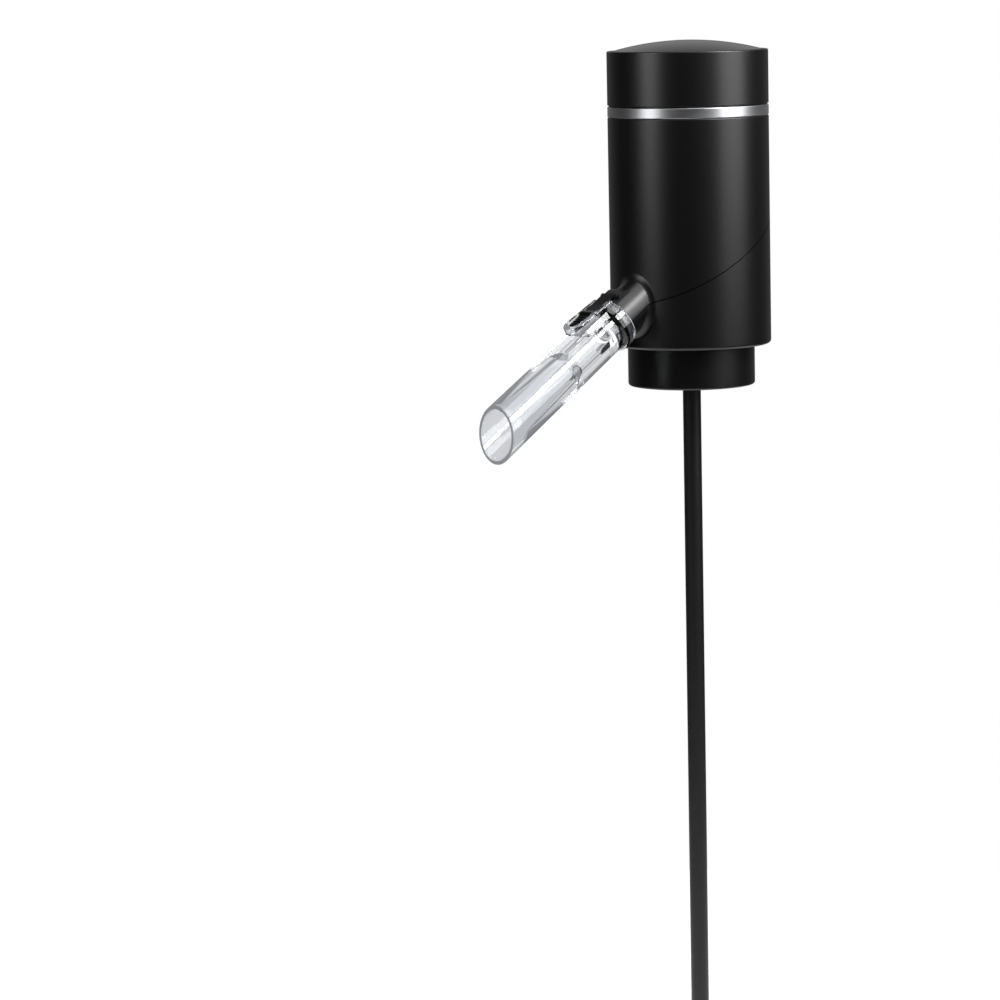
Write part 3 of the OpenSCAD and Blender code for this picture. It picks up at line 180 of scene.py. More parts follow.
finishes = {
    # body, cap and collar: deep black, with soft broad highlights
    "shell_plastic": mouldedFinish("satin_black_ABS", {
        "dark": "#030303", "light": "#050505", "driftMm": 14, "grainMm": 0.35,
        "roughness": 0.36, "uneven": 0.05, "bump": 0.12, "ior": 1.5}),
    # dome: a smoother mould face, so its highlight is tighter
    "button_plastic": mouldedFinish("semi_gloss_black_ABS", {
        "dark": "#0b0b0c", "light": "#0f0f10", "driftMm": 10, "grainMm": 0.35,
        "roughness": 0.24, "uneven": 0.04, "bump": 0.08, "ior": 1.5}),
    # release lever: dull self-coloured black, so that the ribs show by their glints alone
    "latch_plastic": mouldedFinish("matt_black_acetal", {
        "dark": "#040404", "light": "#070707", "driftMm": 4, "grainMm": 0.3,
        "roughness": 0.3, "uneven": 0.06, "bump": 0.15, "ior": 1.38}),
    # seals: soot black; the low IOR takes off the gloss where the clear wall already mirrors
    "seal_rubber": mouldedFinish("black_EPDM_rubber", {
        "dark": "#030303", "light": "#060606", "driftMm": 3, "grainMm": 0.25,
        "roughness": 0.6, "uneven": 0.06, "bump": 0.2, "ior": 1.12}),
    # dip tube: a waxy sheen on extruded black
    "tube_plastic": mouldedFinish("black_polyethylene", {
        "dark": "#0e0e10", "light": "#131315", "driftMm": 9, "grainMm": 0.5,
        "roughness": 0.4, "uneven": 0.05, "bump": 0.1, "ior": 1.51}),
    # stopper, valve and hose: milky, with light that spreads inside
    "silicone": mouldedFinish("translucent_silicone", {
        "dark": "#b9b8b2", "light": "#c6c5bf", "driftMm": 6, "grainMm": 0.4,
        "roughness": 0.48, "uneven": 0.05, "bump": 0.15, "ior": 1.41,
        "sockets": {"Subsurface Weight": 0.4, "Subsurface Scale": 2 * mm}}),
    # holders and carriers: plain dark grey mouldings
    "inner_plastic": mouldedFinish("dark_grey_ABS", {
        "dark": "#2b2b2d", "light": "#343436", "driftMm": 8, "grainMm": 0.35,
        "roughness": 0.45, "uneven": 0.05, "bump": 0.2, "ior": 1.5}),
    # pump pieces: off-white, left uncoloured, with a faint gloss
    "natural_plastic": mouldedFinish("natural_acetal", {
        "dark": "#d8d6cc", "light": "#e4e2d9", "driftMm": 6, "grainMm": 0.3,
        "roughness": 0.4, "uneven": 0.05, "bump": 0.15, "ior": 1.48}),
    # cells: smooth printed sleeve, left plain
    "cell_jacket": mouldedFinish("plain_grey_cell_sleeve", {
        "dark": "#80838a", "light": "#8d9097", "driftMm": 9, "grainMm": 0.6,
        "roughness": 0.3, "uneven": 0.05, "bump": 0.1, "ior": 1.5}),
    # leads and plunger: glossy red skin
    "lead_jacket": mouldedFinish("red_PVC", {
        "dark": "#a01a1c", "light": "#b52124", "driftMm": 3, "grainMm": 0.3,
        "roughness": 0.35, "uneven": 0.05, "bump": 0.1, "ior": 1.53}),
    # circuit board: green lacquer, patchy where copper lies under it
    "board": mouldedFinish("green_solder_resist", {
        "dark": "#0d4a26", "light": "#156b38", "driftMm": 1.2, "grainMm": 0.3,
        "roughness": 0.3, "uneven": 0.06, "bump": 0.3, "ior": 1.5}),
    # magnets: dull sintered grey with a rough skin
    "magnet": mouldedFinish("sintered_ferrite", {
        "dark": "#35353a", "light": "#4a4a50", "driftMm": 1.5, "grainMm": 0.2,
        "roughness": 0.6, "uneven": 0.08, "bump": 0.5, "ior": 1.8}),
    # trim ring: lines from turning run round it and draw the highlights out sideways
    "trim_metal": lineFinish("satin_turned_aluminium", {
        "dark": "#b1b2b5", "light": "#cbccce", "stretch": (0.02, 0.02, 1), "lineMm": 0.25, "roughness": 0.35,
        "uneven": 0.05, "bump": 0.3}),
    # screws, springs and shafts: drawn along, bright grey
    "screw_steel": lineFinish("drawn_steel", {
        "dark": "#a8abae", "light": "#c6c8ca", "stretch": (1, 1, 0.1), "lineMm": 0.2, "roughness": 0.3,
        "uneven": 0.06, "bump": 0.2}),
    # contacts: rolled strip, warm yellow
    "contact_brass": lineFinish("stamped_brass", {
        "dark": "#c2a05a", "light": "#d8b873", "stretch": (0.1, 1, 1), "lineMm": 0.25, "roughness": 0.28,
        "uneven": 0.06, "bump": 0.2}),
    # spout and manifold: water clear; rim is a painted grey shade where the surface turns away from view,
    # edge the colour of the painted glow past a few bounces
    "clear_plastic": clearAcrylic({
        "tint": "#eceef1", "rim": "#85888c", "edge": "#b4b6ba", "roughness": 0.03, "flowMm": 9, "bump": 0.05,
        "paintedGlowFrom": 4, "paintedGlowFull": 8}),
}
print("materials made:", len(finishes))

# CAD nodes come as loose triangles: each corner takes the mean normal of the faces that meet there at a
# small angle, and upright round walls take their true radial normal, so that long triangles don't streak
shading = {"sharp": math.radians(47), "weld": 0.002, "roundness": 0.004, "upright": 0.02, "leastRadius": 1}


def smoothCorners(mesh):
    spots = np.empty(len(mesh.vertices) * 3, np.float32)
    mesh.vertices.foreach_get("co", spots)
    corners = np.empty(len(mesh.loops), np.int32)
    mesh.loops.foreach_get("vertex_index", corners)
    spots = spots.reshape(-1, 3).astype(float) / mm
    faces = spots[corners].reshape(-1, 3, 3)
    normals = np.cross(faces[:, 1] - faces[:, 0], faces[:, 2] - faces[:, 0])
    areas = np.linalg.norm(normals, axis=1)
    normals /= np.maximum(areas, 1e-12)[:, None]

    # pairs of corners that share a spot, weighted by the area of the other corner's face
    places = np.round(faces.reshape(-1, 3) / shading["weld"]).astype(np.int64)
    group = np.unique(places, axis=0, return_inverse=True)[1].ravel()
    order = np.argsort(group, kind="stable")
    first = np.searchsorted(group[order], np.arange(group.max() + 2))
    size = np.diff(first)[group[order]]
    one = np.repeat(order, size)
    step = np.arange(len(one)) - np.repeat(np.cumsum(size) - size, size)
    two = order[np.repeat(first[group[order]], size) + step]
    near = (normals[one // 3] * normals[two // 3]).sum(1) > math.cos(shading["sharp"])
    pull = normals[two // 3] * (areas[two // 3] * near)[:, None]
    mean = np.stack([np.bincount(one, pull[:, k], len(corners)) for k in range(3)], 1)

    reach = np.linalg.norm(faces[:, :, :2], axis=2)
    wall = np.ptp(reach, axis=1) < shading["roundness"]
    wall &= (np.abs(normals[:, 2]) < shading["upright"]) & (reach.min(1) > shading["leastRadius"])
    outward = np.sign((normals[:, None, :2] * faces[:, :, :2]).sum(2))[..., None] * faces[:, :, :2]
    mean.reshape(-1, 3, 3)[wall] = np.concatenate([outward, np.zeros_like(reach)[..., None]], 2)[wall]
    mean /= np.maximum(np.linalg.norm(mean, axis=1), 1e-12)[:, None]
    mesh.polygons.foreach_set("use_smooth", [True] * len(mesh.polygons))
    mesh.normals_split_custom_set(mean.tolist())


def dressNode(node, finish):
    node.data.materials.clear()
    node.data.materials.append(finish)
    smoothCorners(node.data)


for part in frame["record"]["subparts"]:
    dressNode(frame["nodes"][part["node"]], finishes[part["material_slot"]])
print("CAD nodes dressed")

# modelling helpers: a piece is drawn from one vertex in its own axes, in millimetres
joinGap = 0.001  # corners this near become one
hair = 0.01      # reach of a test by place


def selectOnly(item):
    bpy.ops.object.select_all(action="DESELECT")
    item.select_set(True)
    bpy.context.view_layer.objects.active = item


def setMode(mode):
    if bpy.context.mode != {"EDIT": "EDIT_MESH"}.get(mode, mode):
        bpy.ops.object.mode_set(mode=mode)


def drawOutline(name, points):
    mesh = bpy.data.meshes.new(name)
    mesh.from_pydata([Vector(points[0]) * mm], [], [])
    item = bpy.data.objects.new(name, mesh)
    bpy.context.scene.collection.objects.link(item)
    setMode("OBJECT")
    selectOnly(item)
    setMode("EDIT")
    bpy.ops.mesh.select_mode(type="VERT")
    bpy.ops.mesh.select_all(action="SELECT")
    for before, after in zip(points, points[1:] + points[:1]):
        step = (Vector(after) - Vector(before)) * mm
        bpy.ops.mesh.extrude_region_move(TRANSFORM_OT_translate={"value": step})
    bpy.ops.mesh.select_all(action="SELECT")
    bpy.ops.mesh.remove_doubles(threshold=joinGap * mm)
    return item


def mergeAll():
    bpy.ops.mesh.select_all(action="SELECT")
    bpy.ops.mesh.remove_doubles(threshold=joinGap * mm)
    bpy.ops.mesh.delete_loose()
    bpy.ops.mesh.select_all(action="SELECT")
    bpy.ops.mesh.normals_make_consistent(inside=False)


def pickEdges(item, wanted):
    setMode("EDIT")
    bpy.ops.mesh.select_mode(type="EDGE")
    bpy.ops.mesh.select_all(action="DESELECT")
    setMode("OBJECT")
    spots = [v.co / mm for v in item.data.vertices]
    for edge in item.data.edges:
        edge.select = wanted(*(spots[i] for i in edge.vertices))
    setMode("EDIT")


def cutWith(item, cutter, operation):
    setMode("OBJECT")
    selectOnly(item)
    cut = item.modifiers.new("cut", "BOOLEAN")
    cut.operation, cut.object, cut.solver = operation, cutter, "EXACT"
    bpy.ops.object.modifier_apply(modifier="cut")
    bpy.data.objects.remove(cutter)


def placePiece(item, axes):
    setMode("OBJECT")
    selectOnly(item)
    item.matrix_world = axes
    bpy.ops.object.transform_apply(location=True, rotation=True, scale=True)


def finishPiece(item, finish, sharp=30):
    setMode("EDIT")
    mergeAll()
    setMode("OBJECT")
    selectOnly(item)
    bpy.ops.object.shade_smooth_by_angle(angle=math.radians(sharp))
    item.data.materials.append(finish)
    item.modifiers.new("weightedNormals", "WEIGHTED_NORMAL").keep_sharp = True


def arc(centre, radius, first, last, steps):
    turns = [math.radians(first + (last - first) * i / steps) for i in range(steps + 1)]
    return [(centre[0] + radius * math.cos(a), centre[1] + radius * math.sin(a)) for a in turns]


def spinOutline(steps):
    bpy.ops.mesh.select_all(action="SELECT")
    bpy.ops.mesh.spin(steps=steps, angle=math.tau, use_auto_merge=True, center=(0, 0, 0), axis=(0, 0, 1))
    mergeAll()


# a block with straight sides and a round front, as the latch and its housing are seen from above; its top
# edge can be rounded or flared, its foot can spread to a skirt, and its top can rise towards the front
blockLook = {"frontSteps": 24, "edgeSteps": 5, "flareHeight": 3}


def makeBlock(name, width, first, last, low, high, edge=0, skirt=None, flare=None, rise=0):
    half = width / 2
    front = arc((0, last - half), half, 0, 180, blockLook["frontSteps"])
    item = drawOutline(name, [(half, low, first)] + [(x, low, s) for x, s in front] + [(-half, low, first)])
    bpy.ops.mesh.edge_face_add()
    bpy.ops.mesh.extrude_region_move(TRANSFORM_OT_translate={"value": (0, (high - low) * mm, 0)})
    if flare:
        bpy.ops.mesh.inset(thickness=flare * mm, depth=flare * mm, use_outset=True)
        above = (0, blockLook["flareHeight"] * mm, 0)
        bpy.ops.mesh.extrude_region_move(TRANSFORM_OT_translate={"value": above})
    if edge:
        pickEdges(item, lambda a, b: min(a.y, b.y) > high - hair)
        bpy.ops.mesh.bevel(offset=edge * mm, segments=blockLook["edgeSteps"], affect="EDGES")
    if rise:
        setMode("OBJECT")
        for corner in item.data.vertices:
            if corner.co.y > (high - edge - hair) * mm:
                corner.co.y -= rise * (last * mm - corner.co.z)
        setMode("EDIT")
    if skirt:
        mergeAll()
        bpy.ops.mesh.select_mode(type="FACE")
        bpy.ops.mesh.select_all(action="DESELECT")
        setMode("OBJECT")
        for face in item.data.polygons:
            face.select = face.center.y < (low + hair) * mm
        setMode("EDIT")
        bpy.ops.mesh.inset(thickness=skirt["out"] * mm, depth=skirt["down"] * mm, use_outset=True)
        bpy.ops.mesh.extrude_region_move(TRANSFORM_OT_translate={"value": (0, -skirt["root"] * mm, 0)})
    mergeAll()
    setMode("OBJECT")
    return item


def addBar(radius, length, height, along, steps):
    bpy.ops.object.select_all(action="DESELECT")
    bpy.ops.mesh.primitive_cylinder_add(vertices=steps, radius=radius * mm, depth=length * mm,
                                        rotation=(0, math.pi / 2, 0), location=(0, height * mm, along * mm))
    bpy.ops.object.transform_apply(location=True, rotation=True, scale=True)
    return bpy.context.object


# the spout's own axes: X across, Y up square to the seam, Z out along the spout
slope = spoutAxis["slope"]
spoutFrame = Matrix(((1, 0, 0, 0),
                     (0, -math.sin(slope), -math.cos(slope), 0),
                     (0, math.cos(slope), -math.sin(slope), spoutAxis["height"] * mm),
                     (0, 0, 0, 1)))

# the release lever tips on this axis across the spout
latchPivot = {"along": 50, "height": 9.05}

# clear spout: a turned tube with socket, mixing throat and flared bore, a latch housing and an upright mouth
spoutLook = {
    "start": 41.1, "collarRadius": 8.7, "collarEnd": 46.3, "rearRadius": 7.6, "end": 115.4, "taper": 0.00878,
    "rearEdge": 0.4, "collarEdge": 0.5, "collarTurn": 1, "collarFillet": 0.6, "filletTurn": 0.3,
    "socketRadius": 7.2, "socketEnd": 48.9, "socketEdge": 0.4, "leadIn": (1.3, 0.3), "throatRadius": 3.3,
    "throatEdge": 0.3, "swell": (70.8, 64.8), "swellSteps": 16, "coneRoot": 4.55, "coneEnd": 83.85,
    "coneRadius": 5.4, "flareEnd": 99.2, "flareRadius": 24, "boreMouth": 7.0, "mouth": 88.5, "lip": 0.3,
    "housingWidth": 8.4, "housingEnd": 60, "housingFoot": 6.9, "housingTop": 10.4, "rise": 0.07, "edge": 0.6,
    "rim": 0.2, "troughWidth": 5.2, "troughFloor": 7.8, "wall": 1.5,
    "skirt": {"out": 0.5, "down": 1.2, "root": 1.8},
    "pivotRadius": 0.5, "pivotReach": 14, "pivotSteps": 32, "cutter": 60, "over": 2, "steps": 144,
}


def makeSpout(look):
    start, collarEnd, rear = look["start"], look["collarEnd"], look["rearRadius"]
    corner, turn, fillet = look["rearEdge"], look["collarEdge"], look["collarFillet"]
    outside = arc((look["collarRadius"] - corner, start + corner), corner, -90, 0, 5)
    outside += arc((look["collarRadius"] - turn, collarEnd - look["collarTurn"]), turn, 0, 55, 4)
    outside += arc((rear + fillet, collarEnd + look["filletTurn"]), fillet, 235, 180, 4)
    outside += [(rear + look["taper"] * (look["end"] - collarEnd), look["end"])]

    # the bore, from the mouth inwards: flare, cone, a swell down to the throat, the socket and its lead-in
    throat, socketEnd, swellSteps = look["throatRadius"], look["socketEnd"], look["swellSteps"]
    inside = [(look["boreMouth"], look["end"] + look["over"])]
    inside += arc((look["boreMouth"] - look["flareRadius"], look["flareEnd"]), look["flareRadius"], 0, -7, 6)
    inside += [(look["coneRadius"], look["coneEnd"])]
    swellFront, swellRear = look["swell"]
    for i in range(swellSteps + 1):
        part = i / swellSteps
        inside += [(throat + (look["coneRoot"] - throat) * (0.5 + 0.5 * math.cos(math.pi * part)),
                    swellFront + (swellRear - swellFront) * part)]
    inside += [(throat, socketEnd + look["throatEdge"]), (throat + look["throatEdge"], socketEnd)]
    inner = look["socketEdge"]
    inside += arc((look["socketRadius"] - inner, socketEnd - inner), inner, 90, 0, 4)
    wider, deep = look["leadIn"]
    inside += [(look["socketRadius"], start + deep), (look["socketRadius"] + wider, start - 1)]
    spout = drawOutline("clear_spout", [(0, 0, start)] + [(r, 0, s) for r, s in outside]
                        + [(0, 0, look["end"])])
    spinOutline(look["steps"])
    bore = drawOutline("bore", [(0, 0, look["end"] + look["over"])] + [(r, 0, s) for r, s in inside]
                       + [(0, 0, start - 1)])
    spinOutline(look["steps"])

    # the housing's skirt runs out into the tube; then mouth, bore, trough and the pivot's holes are cut
    skirt, cutter = look["skirt"], look["cutter"]
    cutWith(spout, makeBlock("housing", look["housingWidth"], start + skirt["out"], look["housingEnd"],
                             look["housingFoot"], look["housingTop"], edge=look["edge"], skirt=skirt,
                             rise=look["rise"]), "UNION")
    bpy.ops.mesh.primitive_cube_add(size=cutter * mm,
                                    location=(0, (-look["mouth"] - cutter / 2) * mm, -cutter / 3 * mm))
    bpy.context.object.matrix_world = spoutFrame.inverted() @ bpy.context.object.matrix_world
    cutWith(spout, bpy.context.object, "DIFFERENCE")
    cutWith(spout, bore, "DIFFERENCE")
    brim = look["housingTop"] - look["rise"] * look["wall"] - look["rim"]
    cutWith(spout, makeBlock("trough", look["troughWidth"], start - 1, look["housingEnd"] - look["wall"],
                             look["troughFloor"], brim, flare=look["rim"], rise=look["rise"]), "DIFFERENCE")
    hole = addBar(look["pivotRadius"], look["pivotReach"], latchPivot["height"], latchPivot["along"],
                  look["pivotSteps"])
    cutWith(spout, hole, "DIFFERENCE")

    # the two edges of the upright mouth are rounded over to a lip
    placePiece(spout, spoutFrame)
    between = (look["boreMouth"] + rear + 0.5) / 2  # the outside has grown by about 0.5 mm there

    def onMouth(spot):
        return abs(spot.y + look["mouth"]) < 2 * joinGap

    def onOutside(spot):
        return (spoutFrame.inverted() @ (spot * mm)).xy.length / mm > between

    pickEdges(spout, lambda a, b: onMouth(a) and onMouth(b) and onOutside(a) == onOutside(b))
    bpy.ops.mesh.bevel(offset=look["lip"] * mm, segments=4, affect="EDGES")
    finishPiece(spout, finishes["clear_plastic"], 32)
    return spout


spout = makeSpout(spoutLook)
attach(spout, "body")
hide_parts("spout")
print("spout made:", len(spout.data.polygons), "faces")

# black seal in the spout's socket: a ring seated in the nose's groove, pressed flat against the clear wall,
# so that it shows through as one crisp band
sealLook = {"grooveFloor": 5.3, "groove": (43.3, 45.1), "footEdge": 0.05, "nose": 6.05, "band": (43.3, 46.4),
            "pressed": 7.25, "shoulder": 0.35, "steps": 144}


def makeSeal(look):
    rear, front = look["band"]
    grooveRear, grooveFront = look["groove"]
    turnAt = look["pressed"] - look["shoulder"]
    outline = [(look["grooveFloor"], grooveRear), (look["nose"], rear)]
    outline += arc((turnAt, rear + look["shoulder"]), look["shoulder"], -90, 0, 6)
    outline += arc((turnAt, front - look["shoulder"]), look["shoulder"], 0, 90, 6)
    outline += [(look["nose"], front), (look["nose"], grooveFront),
                (look["grooveFloor"], grooveFront - look["footEdge"])]
    seal = drawOutline("pressed_seal", [(r, 0, s) for r, s in outline])
    spinOutline(look["steps"])
    placePiece(seal, spoutFrame)
    finishPiece(seal, finishes["seal_rubber"], 40)
    return seal


seal = makeSeal(sealLook)
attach(seal, "body")
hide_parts("spout_seal")
print("seal made:", len(seal.data.polygons), "faces")

# release lever: hook, thumb pad with a hump over its pivot and short round ribs in front
latchLook = {
    "width": 4.9, "hookWidth": 6.4, "shoulder": 41.3, "hook": 38.4, "hookLength": 1.2, "hookUnder": 7.5,
    "armUnder": 8.5, "armTop": 9.2, "ramp": 0.9, "underRamp": 1, "padRear": 45.5, "padTip": 57.8,
    "padUnder": 8.6, "padTop": 9.5, "tipRound": 0.6, "tipEdge": 0.2, "front": 58.2, "hump": 10.1,
    "humpReach": 2.1, "edge": 0.2, "plan": (30, 0, 20), "ribs": (52.0, 53.3, 54.6, 55.9, 57.0),
    "ribRadius": 0.5, "ribSink": 0.1, "ribLength": 3.9, "ribEnd": 0.4, "stubRadius": 0.4, "stubs": 8.2,
    "barSteps": 32,
}


def makeLatch(look):
    padTop, padTip, padUnder, padRear = look["padTop"], look["padTip"], look["padUnder"], look["padRear"]
    top = [(padRear - look["ramp"], look["armTop"]), (padRear + look["ramp"], padTop)]
    top += [(latchPivot["along"] + look["humpReach"] * t,
             padTop + (look["hump"] - padTop) * math.cos(t * math.pi / 2) ** 2)
            for t in (-1, -0.8, -0.6, -0.4, -0.2, 0, 0.2, 0.4, 0.6, 0.8, 1)]
    top += arc((padTip - look["tipRound"], padTop - look["tipRound"]), look["tipRound"], 90, 10, 6)
    hookFront = look["hook"] + look["hookLength"]
    under = [(padTip, padUnder + look["tipEdge"]), (padTip - look["tipEdge"], padUnder),
             (padRear + look["underRamp"], padUnder), (padRear, look["armUnder"]),
             (hookFront, look["armUnder"]), (hookFront, look["hookUnder"]),
             (look["hook"], look["hookUnder"]), (look["hook"], look["armTop"])]
    half = look["hookWidth"] / 2
    latch = drawOutline("latch_lever", [(-half, h, s) for s, h in top + under])
    bpy.ops.mesh.edge_face_add()
    bpy.ops.mesh.extrude_region_move(TRANSFORM_OT_translate={"value": (look["hookWidth"] * mm, 0, 0)})
    mergeAll()

    # seen from above the lever is narrow in its trough and as wide as the notch at its hook
    rear, low, high = look["plan"]
    plan = makeBlock("plan", look["width"], rear, look["front"], low, high)
    hookPlan = makeBlock("hookPlan", look["hookWidth"] + hair, rear - 1, look["shoulder"], low - 1, high + 1)
    cutWith(plan, hookPlan, "UNION")
    cutWith(latch, plan, "INTERSECT")
    pickEdges(latch, lambda a, b: False)
    bpy.ops.mesh.edges_select_sharp(sharpness=math.radians(50))
    bpy.ops.mesh.bevel(offset=look["edge"] * mm, segments=3, affect="EDGES", clamp_overlap=True)
    setMode("OBJECT")
    for along in look["ribs"]:
        rib = addBar(look["ribRadius"], look["ribLength"], padTop - look["ribSink"], along, look["barSteps"])
        pickEdges(rib, lambda a, b: abs(a.x - b.x) < joinGap)
        bpy.ops.mesh.bevel(offset=look["ribEnd"] * mm, segments=4, affect="EDGES")
        cutWith(latch, rib, "UNION")
    stub = addBar(look["stubRadius"], look["stubs"], latchPivot["height"], latchPivot["along"],
                  look["barSteps"])
    cutWith(latch, stub, "UNION")
    placePiece(latch, spoutFrame)
    finishPiece(latch, finishes["latch_plastic"], 35)
    return latch


latch = makeLatch(latchLook)
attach(latch, "latch")
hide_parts("spout_latch")
print("latch made:", len(latch.data.polygons), "faces")


# return spring under the button: the CAD coil's own form, its foot on the cap and its top coil on the button
def makeCoil():
    node = frame["nodes"]["button_spring"]
    coil = bpy.data.objects.new("return_coil", node.data.copy())
    coil.data.transform(node.matrix_world)
    coil.data.materials.clear()
    bpy.context.scene.collection.objects.link(coil)
    selectOnly(coil)
    bpy.ops.mesh.customdata_custom_splitnormals_clear()
    finishPiece(coil, finishes["screw_steel"], 50)
    return coil


coil = makeCoil()
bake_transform(coil)
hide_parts("button_spring")
print("coil made:", len(coil.data.polygons), "faces")

# switch plunger: a turned pin with rounded rims, a little clear of its bore's floor when the button is down
plungerLook = {"room": 0.15, "rim": 0.25}


def makePlunger(look):
    low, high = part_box("switch_plunger")
    low.z += look["room"] * mm
    bpy.ops.object.select_all(action="DESELECT")
    bpy.ops.mesh.primitive_cylinder_add(vertices=64, radius=(high.x - low.x) / 2, depth=high.z - low.z,
                                        location=(low + high) / 2)
    plunger = bpy.context.object
    plunger.name = "plunger_pin"
    bpy.ops.object.transform_apply(location=True, rotation=True, scale=True)
    pickEdges(plunger, lambda a, b: abs(a.z - b.z) < joinGap)
    bpy.ops.mesh.bevel(offset=look["rim"] * mm, segments=4, affect="EDGES")
    finishPiece(plunger, finishes["lead_jacket"], 40)
    return plunger


plunger = makePlunger(plungerLook)
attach(plunger, "plunger")
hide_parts("switch_plunger")
print("plunger made:", len(plunger.data.polygons), "faces")

# stage: a pale round of floor under the dip tube, white to the eye, that keeps the shadow
stageLook = {"radius": 0.4, "drop": 0.2, "colour": "#f4f4f4", "glow": 0.72}


def makeFloor():
    bpy.ops.object.select_all(action="DESELECT")
    bpy.ops.mesh.primitive_circle_add(vertices=96, radius=stageLook["radius"], fill_type="NGON",
                                      location=(0, 0, cadBox[0].z - stageLook["drop"] * mm))
    floor = bpy.context.object
    floor.name = "floor"
    bpy.ops.object.transform_apply(location=True, rotation=True, scale=True)
    material, tree = newMaterial("pale_paper")
    path = addNode(tree, "ShaderNodeLightPath").outputs
    paper = addNode(tree, "ShaderNodeBsdfDiffuse", {"Color": linear(stageLook["colour"])})
    glow = addNode(tree, "ShaderNodeEmission", {"Color": (1, 1, 1, 1), "Strength": stageLook["glow"]})
    seen = addNode(tree, "ShaderNodeMath", {"operation": "MAXIMUM"},
                   {0: path["Is Camera Ray"], 1: path["Is Transmission Ray"]})
    seen = addNode(tree, "ShaderNodeMath", {"operation": "MAXIMUM"},
                   {0: seen.outputs[0], 1: path["Is Glossy Ray"]})
    lit = addNode(tree, "ShaderNodeAddShader", {}, {0: paper.outputs["BSDF"], 1: glow.outputs["Emission"]})
    mix = addNode(tree, "ShaderNodeMixShader", {},
                  {0: seen.outputs[0], 1: paper.outputs["BSDF"], 2: lit.outputs["Shader"]})
    addNode(tree, "ShaderNodeOutputMaterial", {}, {"Surface": mix.outputs["Shader"]})
    floor.data.materials.append(material)


# camera of the photograph: the point on the body's axis at aimHeight falls on aimPixel of its square frame
cameraLook = {"azimuth": 47.5, "pitch": 8, "roll": 1.2, "focalPixels": 3800, "framePixels": 1000,
              "aimHeight": 37.5, "aimPixel": (689.6, 230), "distance": 1254}


def cameraAxes():
    turn, tilt = math.radians(cameraLook["azimuth"]), math.radians(cameraLook["pitch"])
    forward = Vector((-math.sin(turn) * math.cos(tilt), math.cos(turn) * math.cos(tilt), -math.sin(tilt)))
    right = Vector((math.cos(turn), math.sin(turn), 0))
    return forward, right, forward.cross(right)


def makeCamera():
    forward, right, down = cameraAxes()
    roll = math.radians(cameraLook["roll"])
    imageRight = right * math.cos(roll) + down * math.sin(roll)
    imageDown = down * math.cos(roll) - right * math.sin(roll)
    middle = cameraLook["framePixels"] / 2
    u, v = ((p - middle) / cameraLook["focalPixels"] for p in cameraLook["aimPixel"])
    ray = forward + imageRight * u + imageDown * v
    place = Vector((0, 0, cameraLook["aimHeight"] * mm)) - ray * cameraLook["distance"] * mm
    data = bpy.data.cameras.new("photo_camera")
    data.sensor_width = 36
    data.lens = cameraLook["focalPixels"] * data.sensor_width / cameraLook["framePixels"]
    data.clip_start, data.clip_end = 0.05, 50
    camera = bpy.data.objects.new("photo_camera", data)
    bpy.context.scene.collection.objects.link(camera)
    axes = Matrix((imageRight, -imageDown, -forward)).transposed().to_4x4()
    camera.matrix_world = Matrix.Translation(place) @ axes
    bpy.context.scene.camera = camera


# the room: white to the eye, pale grey through clear plastic, dim for what the black plastic mirrors in
# front and a little lighter behind, so that the back keeps its form
roomLook = {"white": 1.0, "dim": 0.02, "behind": 0.2, "behindFrom": 0.4, "bandTop": 0.30, "bandFade": 0.3,
            "through": 0.74, "above": 0.4}


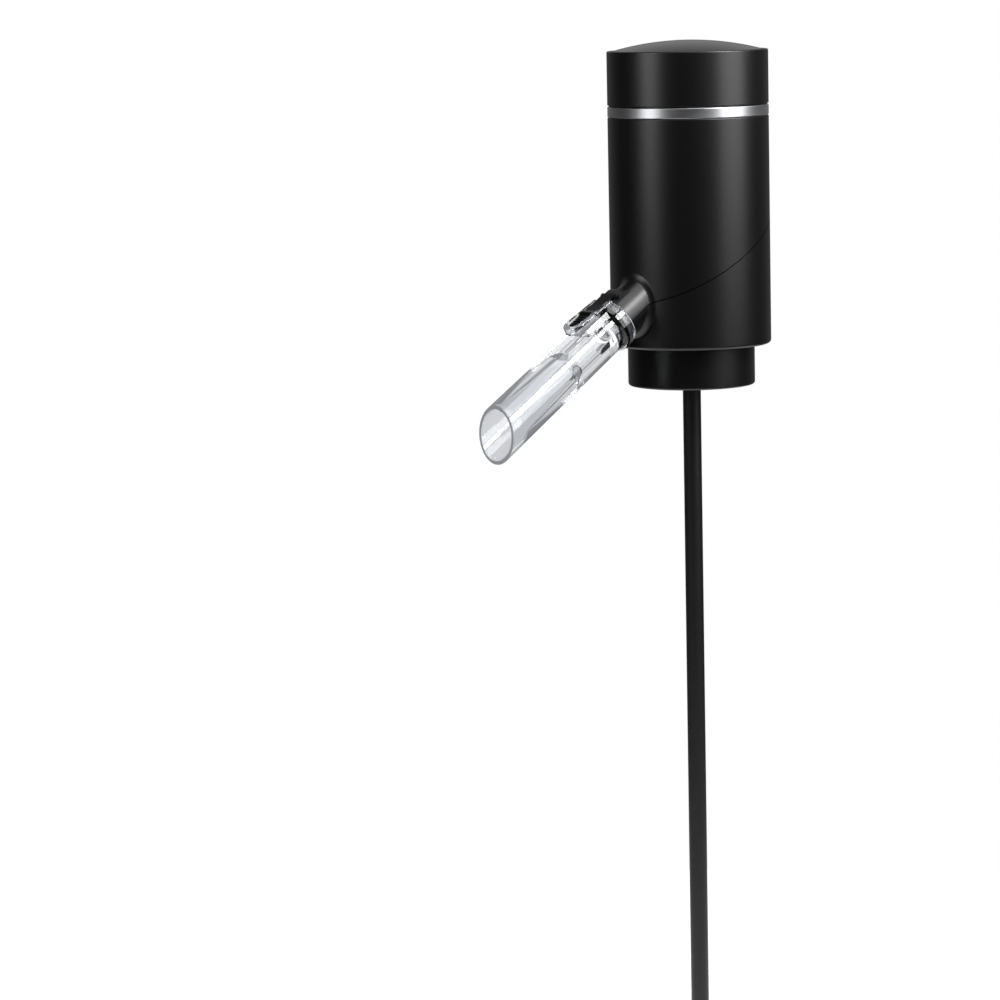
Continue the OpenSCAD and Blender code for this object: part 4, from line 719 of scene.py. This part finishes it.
def makeRoom():
    world = bpy.data.worlds.new("studio")
    bpy.context.scene.world = world
    world.use_nodes = True
    tree = world.node_tree
    tree.nodes.clear()
    path = addNode(tree, "ShaderNodeLightPath").outputs
    way = addNode(tree, "ShaderNodeTexCoord").outputs["Generated"]
    height = addNode(tree, "ShaderNodeSeparateXYZ", {}, {"Vector": way}).outputs["Z"]
    band = addNode(tree, "ShaderNodeMapRange", {"From Min": roomLook["bandTop"],
                                                "From Max": roomLook["bandTop"] + roomLook["bandFade"],
                                                "To Min": roomLook["through"], "To Max": roomLook["above"]},
                   {"Value": height})
    away = addNode(tree, "ShaderNodeVectorMath", {"operation": "DOT_PRODUCT", 1: cameraAxes()[0]}, {0: way})
    mirrored = addNode(tree, "ShaderNodeMapRange", {"From Min": roomLook["behindFrom"], "From Max": 1,
                                                    "To Min": roomLook["dim"], "To Max": roomLook["behind"]},
                       {"Value": away.outputs["Value"]})
    level = addNode(tree, "ShaderNodeMix", {},
                    {"Factor": path["Is Transmission Ray"], "A": mirrored.outputs["Result"],
                     "B": band.outputs["Result"]})
    seen = addNode(tree, "ShaderNodeMix", {"B": roomLook["white"]},
                   {"Factor": path["Is Camera Ray"], "A": level.outputs["Result"]})
    back = addNode(tree, "ShaderNodeBackground", {"Color": (1, 1, 1, 1)},
                   {"Strength": seen.outputs["Result"]})
    addNode(tree, "ShaderNodeOutputWorld", {}, {"Surface": back.outputs["Background"]})


# soft boxes, placed by their turn from the camera's side (left is negative), metres; glow is their radiance
lampAim = 0.05
lampLook = {
    "leftBox": {"turn": -58, "distance": 0.5, "height": 0.27, "size": (0.20, 0.45), "glow": 4.6},
    "rightBox": {"turn": 62, "distance": 0.5, "height": 0.265, "size": (0.34, 0.47), "glow": 4.4},
    "highBox": {"turn": 59, "distance": 0.31, "height": 0.33, "size": (0.3, 0.19), "glow": 17},
    "topBox": {"turn": 20, "distance": 0.25, "height": 0.9, "size": (0.5, 0.5), "glow": 4},
    "backBox": {"turn": 180, "distance": 0.8, "height": 0.42, "size": (0.9, 0.4), "glow": 0.3},
}


def makeLamps():
    right = cameraAxes()[1]
    towards = Vector((right.y, -right.x, 0))
    for name, look in lampLook.items():
        turn = math.radians(look["turn"])
        place = (towards * math.cos(turn) + right * math.sin(turn)) * look["distance"]
        place.z = look["height"]
        data = bpy.data.lights.new(name, "AREA")
        data.shape = "RECTANGLE"
        data.size, data.size_y = look["size"]
        data.energy = look["glow"] * math.pi * data.size * data.size_y
        lamp = bpy.data.objects.new(name, data)
        bpy.context.scene.collection.objects.link(lamp)
        aim = Vector((0, 0, lampAim)) - place
        if abs(aim.z) < aim.xy.length:
            aim.z = 0  # low boxes stand upright
        lamp.matrix_world = Matrix.Translation(place) @ aim.to_track_quat("-Z", "Y").to_matrix().to_4x4()


makeFloor()
makeRoom()
makeCamera()
makeLamps()
bpy.context.scene.view_settings.view_transform = "Standard"
print("stage, camera and lamps set")
